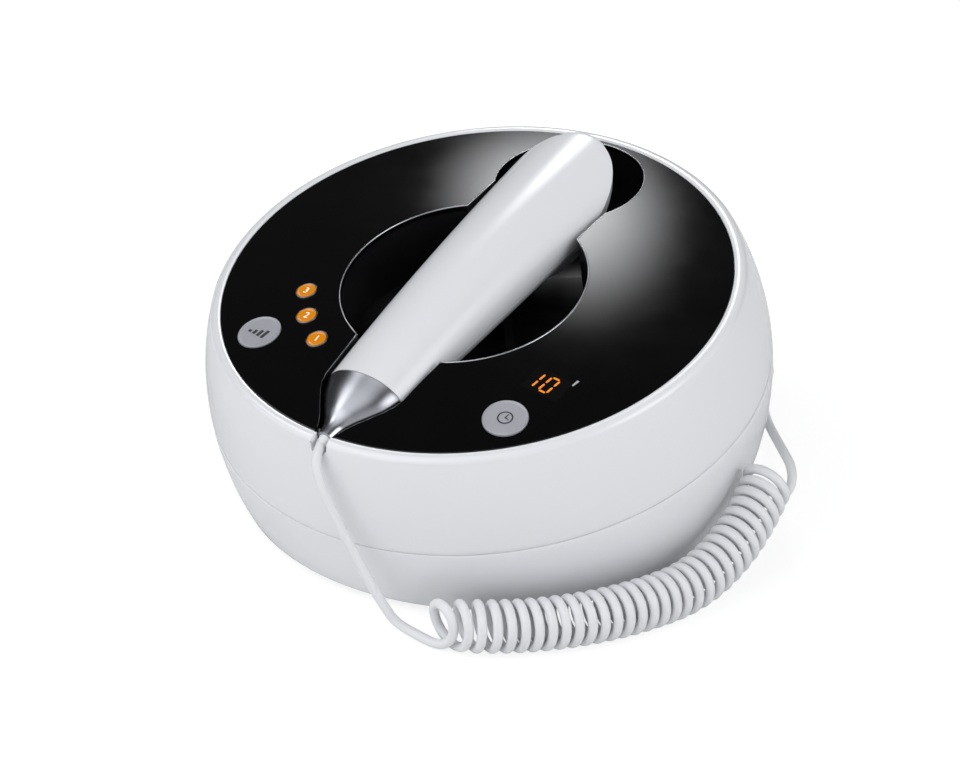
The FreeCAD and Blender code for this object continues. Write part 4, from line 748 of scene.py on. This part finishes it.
def grip_half(name, upper):
    """One half of the grip, from the tail joint to the slanted cut, with its wall and rounded edges."""
    start = STATIONS[0]
    places = [(number / OUTER_POINTS, 0.0) for number in range(OUTER_POINTS + 1)]
    places += [(1 - number / INNER_POINTS, SHELL) for number in range(INNER_POINTS + 1)]
    loops = []
    for step in range(GRIP_STEPS + 1):
        run = step / GRIP_STEPS
        loop = []
        for share, inset in places:
            along = start
            for settle in range(12):
                across, out = grip_point(along, share, upper, inset)
                along = start + (CUT_AT + CUT_SLOPE * out - start) * run
            loop.append(spot(across, along, out))
        loops.append(loop)
    piece = loft(name, loops, cap_first=True, cap_last=True)
    round_edges(piece, near(loops[-1][:OUTER_POINTS + 1]), 0.9 * MM, 4)
    for number in (0, OUTER_POINTS):
        round_edges(piece, near([loop[number] for loop in loops]), 0.22 * MM, 2)
    return piece


upper_shell = grip_half("grip_upper_shell", True)
hand_over(upper_shell, "handpiece", WHITE_GRIP, ("handpiece_upper_shell",))
lower_shell = grip_half("grip_lower_shell", False)
hand_over(lower_shell, "handpiece", WHITE_GRIP, ("handpiece_lower_shell",))

# %% [markdown]
# The tail is a trumpet of satin metal: an oval at the joint that shrinks in a hollow curve to the
# round cord end. It is a loft of ovals, with a fine chamfer at the joint and a bore for the cord. A
# soft sleeve guards the cord where it leaves, and a grey collar stands on the slanted head.

# %% Tail cone
CONE = [(-76.15, 17.7, 11.0, -1.4), (-84.4, 14.3, 9.2, -1.93), (-92.0, 9.0, 7.1, -2.47),
        (-97.5, 5.3, 5.0, -3.0), (-103.5, 3.8, 3.8, -3.0)]
CONE_STEPS, CHAMFER_END, CONE_RUN, OVAL_POINTS = 44, -76.4, 27.0, 96


def cone_at(along):
    """Half-width, half-height and level of the trumpet, on a smooth curve through its stations."""
    last = len(CONE) - 2
    number = next((place for place in range(last) if CONE[place + 1][0] <= along), last)
    before, first = CONE[max(number - 1, 0)], CONE[number]
    second, after = CONE[number + 1], CONE[min(number + 2, last + 1)]
    share = (along - first[0]) / (second[0] - first[0])
    answer = []
    for part in (1, 2, 3):
        lead = (second[part] - before[part]) / (second[0] - before[0]) * (second[0] - first[0])
        trail = (after[part] - first[part]) / (after[0] - first[0]) * (second[0] - first[0])
        square, cube = share ** 2, share ** 3
        answer.append((2 * cube - 3 * square + 1) * first[part] + (cube - 2 * square + share) * lead
                      + (3 * square - 2 * cube) * second[part] + (cube - square) * trail)
    return answer


def oval(along, width, height, level):
    """An upright oval across the handpiece."""
    return [spot(width * across, along, level + height * upward) for across, upward in around(OVAL_POINTS)]


rings = [oval(-76.15, 4, 3, -1.4), oval(-76.15, 17.4, 10.7, -1.4), oval(CHAMFER_END, 17.64, 10.94, -1.41)]
for step in range(1, CONE_STEPS + 1):
    along = CHAMFER_END - CONE_RUN * step / CONE_STEPS
    rings.append(oval(along, *cone_at(along)))
rings += [oval(along, radius, radius, CORD_LEVEL)
          for along, radius in ((-103.5, 3.6), (-103.5, 2.1), (-96.0, 2.1))]
tail_cone = loft("tail_trumpet", rings, cap_first=True, cap_last=True)
hand_over(tail_cone, "handpiece", SILVER_CONE, ("tail_cone",), 40)
SLEEVE = [(-103.3, 1.9), (-103.3, 2.7), (-104.0, 2.7), (-104.3, 2.5), (-106.3, 2.2), (-106.5, 2.05),
          (-106.5, 1.9), (-103.3, 1.9)]
sleeve = loft("tail_sleeve", [oval(along, radius, radius, CORD_LEVEL) for along, radius in SLEEVE])
hand_over(sleeve, "handpiece", WHITE_CORD, ("tail_grommet",), 40)


# %% The head's collar and electrodes
FACE_ALONG, FACE_OUT, FACE_SINE, FACE_COSINE = 53.25, 1.5, 0.4091, 0.9125


def face_oval(half_length, half_width, height):
    """An oval on the head's slanted face, or at a height above it."""
    ring = []
    for across, onward in around(OVAL_POINTS):
        run = half_length * onward
        ring.append(spot(half_width * across, FACE_ALONG + FACE_COSINE * run + FACE_SINE * height,
                         FACE_OUT + FACE_SINE * run - FACE_COSINE * height))
    return ring


COLLAR = [(20, 14, 0.05), (36.4, 24.4, 0.05), (36.4, 24.4, 0.4), (36.2, 24.2, 0.6), (35.4, 23.5, 5.2),
          (34.9, 23.0, 6.0), (33.6, 21.8, 6.8), (31.5, 19.9, 7.0), (20, 14, 7.0)]
collar = loft("grey_head_collar", [face_oval(*step) for step in COLLAR], cap_first=True, cap_last=True)
hand_over(collar, "handpiece", GREY_COLLAR, ("head_collar",), 40)
polished_copy("electrode_carrier", "handpiece", BLACK_PART)
polished_copy("electrodes", "handpiece", ELECTRODE_METAL)

# %% [markdown]
# Buttons, lamps and their rings all follow the dome: each is a turned profile, lofted from rings
# whose height is measured from the dome above its own axis. The profile of a button has a flange
# under the plate, a straight flank and a softly raised edge round a flat face.


# %% Turned pieces on the dome
def turned(name, centre, profile, cap_first=True, cap_last=True, count=72):
    """A loft of circles: each step of the profile is a radius, a height, and whether the dome is added."""
    rings = []
    for radius, out, on_dome in profile:
        places = [(centre[0] + radius * across, centre[1] + radius * ahead)
                  for across, ahead in around(count)]
        rings.append([spot(x, y, out + (dome(x, y) if on_dome else 0)) for x, y in places])
    return loft(name, rings, cap_first, cap_last)


BUTTON = [(2.5, -6.0, False), (2.5, -3.9, False), (9.8, -3.9, False), (9.8, -2.5, False),
          (8.9, -2.5, False), (8.9, 0.12, True), (8.88, 0.36, True), (8.78, 0.52, True),
          (8.62, 0.60, True), (8.42, 0.58, True), (8.22, 0.47, True), (8.05, 0.38, True),
          (7.2, 0.36, True), (4.0, 0.38, True), (1.0, 0.39, True)]
for key, centre in BUTTONS.items():
    button = turned(key + "_push_button", centre, BUTTON)
    hand_over(button, key + "_key", GREY_BUTTON, (key + "_button",), 50)

LENS = [(3.9, -3.0, False), (3.9, 0.30, True), (3.84, 0.46, True), (3.70, 0.56, True), (3.54, 0.54, True),
        (3.38, 0.44, True), (3.2, 0.33, True), (2.9, 0.30, True), (1.6, 0.33, True), (0.5, 0.34, True)]
RING_PROFILE = [(4.0, -3.0, False), (4.55, -3.0, False), (4.55, 0.2, True), (4.5, 0.38, True),
                (4.38, 0.49, True), (4.2, 0.49, True), (4.07, 0.38, True), (4.0, 0.2, True),
                (4.0, -3.0, False)]
bezels = []
for number, centre in enumerate(LAMPS, 1):
    lamp = turned("level_lamp_lens_%d" % number, centre, LENS)
    hand_over(lamp, "base", AMBER_LENS, ("level_lamp_%d" % number,), 50)
    bezels.append(turned("lamp_ring_%d" % number, centre, RING_PROFILE, False, False))
pick(*bezels)
bpy.ops.object.join()
bezel_set = bpy.context.object
bezel_set.name = "level_lamp_rings"
hand_over(bezel_set, "base", BRIGHT_RING, ("level_lamp_bezels",), 50)

# %% [markdown]
# Numbers and signs are thin prints. Numerals are text, made a mesh and then laid on the dome point by
# point. The signs on the buttons are generic: rising bars for the level, a clock for the time.


# %% Prints on the dome
def lay(piece, centre, turn, lift):
    """Lays a flat mesh on the dome, turned about its centre."""
    swing = Matrix.Rotation(math.radians(turn), 2)
    for vertex in piece.data.vertices:
        flat = swing @ Vector((vertex.co.x, vertex.co.y))
        x, y = centre[0] + flat.x / MM, centre[1] + flat.y / MM
        vertex.co = spot(x, y, dome(x, y) + lift + vertex.co.z / MM)


PRINT_THICK, CAPITAL = 0.03, 0.7


def print_text(name, words, height):
    """A numeral of a given height, made a thin mesh."""
    pick()
    bpy.ops.object.text_add()
    piece = bpy.context.object
    piece.name = name
    piece.data.body = words
    piece.data.align_x = "CENTER"
    piece.data.align_y = "CENTER"
    piece.data.size = height * MM / CAPITAL
    piece.data.extrude = 0.02 * MM
    piece.data.resolution_u = 4
    bpy.ops.object.convert(target="MESH")
    return bpy.context.object


def print_bar(corners):
    """A flat bar from its outline, in millimetres, given a thickness by extruding it."""
    pick()
    bpy.ops.mesh.primitive_circle_add(vertices=len(corners), radius=MM, fill_type="NGON")
    piece = bpy.context.object
    for vertex, (x, y) in zip(piece.data.vertices, corners):
        vertex.co = (x * MM, y * MM, 0)
    bpy.ops.object.mode_set(mode="EDIT")
    bpy.ops.mesh.select_all(action="SELECT")
    bpy.ops.mesh.extrude_region_move(TRANSFORM_OT_translate={"value": (0, 0, PRINT_THICK * MM)})
    bpy.ops.object.mode_set(mode="OBJECT")
    return piece


def print_ring(inner, outer, count=48):
    """A flat ring: two circles, bridged and thickened."""
    steps = ((inner, 0), (outer, 0), (outer, PRINT_THICK), (inner, PRINT_THICK), (inner, 0))
    return loft("print_ring", [[Vector((radius * across, radius * ahead, out)) * MM
                                for across, ahead in around(count)] for radius, out in steps])


def print_sign(name, parts, centre, turn, lift, body, finish):
    """Joins the parts of a sign, lays it on the dome and hands it over."""
    pick(*parts)
    bpy.ops.object.join()
    sign = bpy.context.object
    sign.name = name
    tidy(sign)
    lay(sign, centre, turn, lift)
    hand_over(sign, body, finish)


for number, centre in enumerate(LAMPS, 1):
    numeral = print_text("lamp_numeral_%d" % number, str(number), 3.2)
    lay(numeral, centre, 4.0, 0.37)
    hand_over(numeral, "base", LAMP_NUMERAL)

bars = [print_bar([(x, -2.2), (x + 1.5, -2.2), (x + 1.5, top), (x, top)])
        for x, top in ((-4.6, -0.9), (-2.2, 0.2), (0.2, 1.3), (2.6, 2.4))]
print_sign("level_sign", bars, BUTTONS["level"], -12, 0.40, "level_key", BUTTON_MARK)
clock = [print_ring(2.55, 3.15), print_bar([(-0.25, -0.25), (0.25, -0.25), (0.25, 2.0), (-0.25, 2.0)]),
         print_bar([(-0.25, -0.25), (1.7, -0.25), (1.7, 0.25), (-0.25, 0.25)])]
print_sign("time_sign", clock, BUTTONS["time"], -10, 0.40, "time_key", BUTTON_MARK)

# %% [markdown]
# The display is a smoked window, level with the plate, over a module whose lit segments shine through.
# Each digit is drawn with six-cornered bars that leave a thin gap at the joints, leaning a little.

# %% Display
polished_copy("display_lens", "base", SMOKED_LENS)


def segment(start, finish, half=0.42, gap=0.30):
    """One lit bar of a digit, pointed at both ends."""
    way = (Vector(finish) - Vector(start)).normalized()
    aside = Vector((-way.y, way.x)) * half
    first, last = Vector(start) + way * gap, Vector(finish) - way * gap
    return print_bar([first, first + way * half + aside, last - way * half + aside, last,
                      last - way * half - aside, first + way * half - aside])


LEAN, HALF_HIGH, WIDE = 0.12, 4.1, 3.7
ONE_AT, ZERO_AT = -2.9, 0.2


def leaning(x, y):
    """A place that leans with the digits."""
    return x + LEAN * y, y


bars = []
for x in (ONE_AT, ZERO_AT, ZERO_AT + WIDE):
    bars += [segment(leaning(x, low), leaning(x, low + HALF_HIGH)) for low in (-HALF_HIGH, 0)]
for y in (-HALF_HIGH, HALF_HIGH):
    bars.append(segment(leaning(ZERO_AT, y), leaning(ZERO_AT + WIDE, y)))
print_sign("display_digits", bars, (62.4, -44.2), -3, 0.02, "base", AMBER_DIGIT)
minute = print_bar([(-0.5, -1.7), (0.15, -1.7), (0.75, 1.7), (-0.25, 1.7)])
print_sign("minute_stroke", [minute], (72.6, -38.6), -3, 0.02, "base", PLATE_MARK)

# %% [markdown]
# At the rear are a low-voltage inlet, a rocker switch and the cord's gland. Their CAD shapes are
# right, so merged copies of them are smoothed and given a finish. What is inside the closed housing
# keeps its CAD solid and gets a finish in its own slot.

# %% Rear fittings and the inside
polished_copy("cord_gland", "base", WHITE_CORD)
polished_copy("power_inlet", "base", INLET_PLASTIC)
polished_copy("power_switch_housing", "base", BLACK_PART)
polished_copy("power_rocker", "rocker", BLACK_PART)
polished_copy("rubber_feet", "base", RUBBER)
INSIDE = ((STEEL, "case_screws board_screws handpiece_screws"),
          (BOARD_GREEN, "main_board level_board time_board handpiece_board"),
          (BLACK_PART, "level_switch time_switch level_plunger time_plunger display_module"),
          (BLACK_PART, "power_transistors buzzer"), (WHITE_LIGHT, "level_leds"),
          (FERRITE, "rf_transformer"), (SINK_METAL, "heat_sink"), (CAPACITOR, "filter_capacitors"))
for finish, names in INSIDE:
    for name in names.split():
        nodes[name].material_slots[0].material = finish
print("finishes inside", len(INSIDE))

# %% [markdown]
# The studio: a white floor that keeps the machine's shadow, and light that is drawn in the world by
# direction. One tall soft box stands behind, where the plate mirrors it. The rest of that side is dark,
# so the plate stays black. Boxes on the left and the right draw streaks along grip and cone, a wide one
# overhead lights the white housing, and weak ones from the camera's side and both flanks fill it.

# %% Floor
pick()
bpy.ops.mesh.primitive_plane_add(size=6)
floor = bpy.context.object
floor.name = "studio_floor"
paper = bpy.data.materials.new("white_paper_floor")
paper.use_nodes = True
tree = paper.node_tree
tree.nodes.clear()
ray = add(tree, "ShaderNodeLightPath")
matt = add(tree, "ShaderNodeBsdfDiffuse", {"Color": (0.8, 0.8, 0.8, 1)})
shade = add(tree, "ShaderNodeBsdfDiffuse", {"Color": (0.30, 0.30, 0.30, 1)})
glow = add(tree, "ShaderNodeEmission", {"Strength": 0.80})
both = add(tree, "ShaderNodeAddShader")
seen = add(tree, "ShaderNodeMixShader")
surface = add(tree, "ShaderNodeOutputMaterial")
wire(shade, 0, both, 0)
wire(glow, 0, both, 1)
wire(ray, "Is Camera Ray", seen, "Fac")
wire(matt, 0, seen, 1)
wire(both, 0, seen, 2)
wire(seen, 0, surface, "Surface")
floor.data.materials.append(paper)

# %% Light by direction
world = bpy.data.worlds.new("studio_light")
bpy.context.scene.world = world
world.use_nodes = True
tree = world.node_tree
tree.nodes.clear()
where = add(tree, "ShaderNodeTexCoord")
parts = []


def towards(azimuth, elevation):
    """The direction of a light, from two angles in degrees."""
    turn, rise = math.radians(azimuth), math.radians(elevation)
    return Vector((math.cos(turn) * math.cos(rise), math.sin(turn) * math.cos(rise), math.sin(rise)))


def soft_box(azimuth, elevation, inner, outer, strength):
    """A round soft light in the world: full inside one angle, gone outside another."""
    aim = add(tree, "ShaderNodeVectorMath", {1: towards(azimuth, elevation)}, operation="DOT_PRODUCT")
    fade = add(tree, "ShaderNodeMapRange", {
        "From Min": math.cos(math.radians(outer)), "From Max": math.cos(math.radians(inner)),
        "To Max": strength}, interpolation_type="SMOOTHSTEP")
    wire(where, "Generated", aim, 0)
    wire(aim, "Value", fade, "Value")
    parts.append(fade)


def tall_box(azimuth, elevation, half_width, half_height, strength):
    """A tall soft light in the world: an ellipse of angles that fades from its middle outwards."""
    turn = math.radians(azimuth)
    ahead = towards(azimuth, elevation)
    across = Vector((-math.sin(turn), math.cos(turn), 0))
    upward = ahead.cross(across)
    squares = []
    for axis, reach in ((across, half_width), (upward, half_height)):
        aim = add(tree, "ShaderNodeVectorMath", {1: axis / math.sin(math.radians(reach))},
                  operation="DOT_PRODUCT")
        square = add(tree, "ShaderNodeMath", {1: 2.0}, operation="POWER")
        wire(where, "Generated", aim, 0)
        wire(aim, "Value", square, 0)
        squares.append(square)
    both = add(tree, "ShaderNodeMath", operation="ADD")
    wire(squares[0], 0, both, 0)
    wire(squares[1], 0, both, 1)
    far = add(tree, "ShaderNodeMath", operation="SQRT")
    wire(both, 0, far, 0)
    fade = add(tree, "ShaderNodeMapRange", {"From Min": 1.0, "From Max": 0.0, "To Max": strength},
               interpolation_type="SMOOTHSTEP")
    wire(far, 0, fade, "Value")
    facing = add(tree, "ShaderNodeVectorMath", {1: ahead}, operation="DOT_PRODUCT")
    wire(where, "Generated", facing, 0)
    side = add(tree, "ShaderNodeMath", {1: 0.0}, operation="GREATER_THAN")
    wire(facing, "Value", side, 0)
    lit_side = add(tree, "ShaderNodeMath", operation="MULTIPLY")
    wire(fade, "Result", lit_side, 0)
    wire(side, 0, lit_side, 1)
    parts.append(lit_side)


LEFT_STREAK, RIGHT_STREAK, OVERHEAD = (193, 50, 4, 14, 2.6), (5, 38, 5, 24, 2.6), (-110, 60, 10, 40, 1.15)
FROM_CAMERA, LEFT_FLANK, RIGHT_FLANK = (-56, 5, 15, 55, 0.6), (238, 24, 15, 48, 1.25), (20, 18, 15, 48, 1.0)
BASE_LIGHT = 0.04
tall_box(128.5, 41, 7.4, 16, 10.5)
for box in (LEFT_STREAK, RIGHT_STREAK, OVERHEAD, FROM_CAMERA, LEFT_FLANK, RIGHT_FLANK):
    soft_box(*box)
total = parts[0]
for part in parts[1:]:
    both = add(tree, "ShaderNodeMath", operation="ADD")
    wire(total, 0, both, 0)
    wire(part, 0, both, 1)
    total = both
base_light = add(tree, "ShaderNodeMath", {1: BASE_LIGHT}, operation="ADD")
wire(total, 0, base_light, 0)
ray = add(tree, "ShaderNodeLightPath")
lit = add(tree, "ShaderNodeBackground", {"Color": (0.97, 0.98, 1.0, 1)})
white = add(tree, "ShaderNodeBackground", {"Color": (1, 1, 1, 1), "Strength": 1.0})
seen = add(tree, "ShaderNodeMixShader")
surface = add(tree, "ShaderNodeOutputWorld")
wire(base_light, 0, lit, "Strength")
wire(ray, "Is Camera Ray", seen, "Fac")
wire(lit, 0, seen, 1)
wire(white, 0, seen, 2)
wire(seen, 0, surface, "Surface")
print("soft boxes", len(parts))
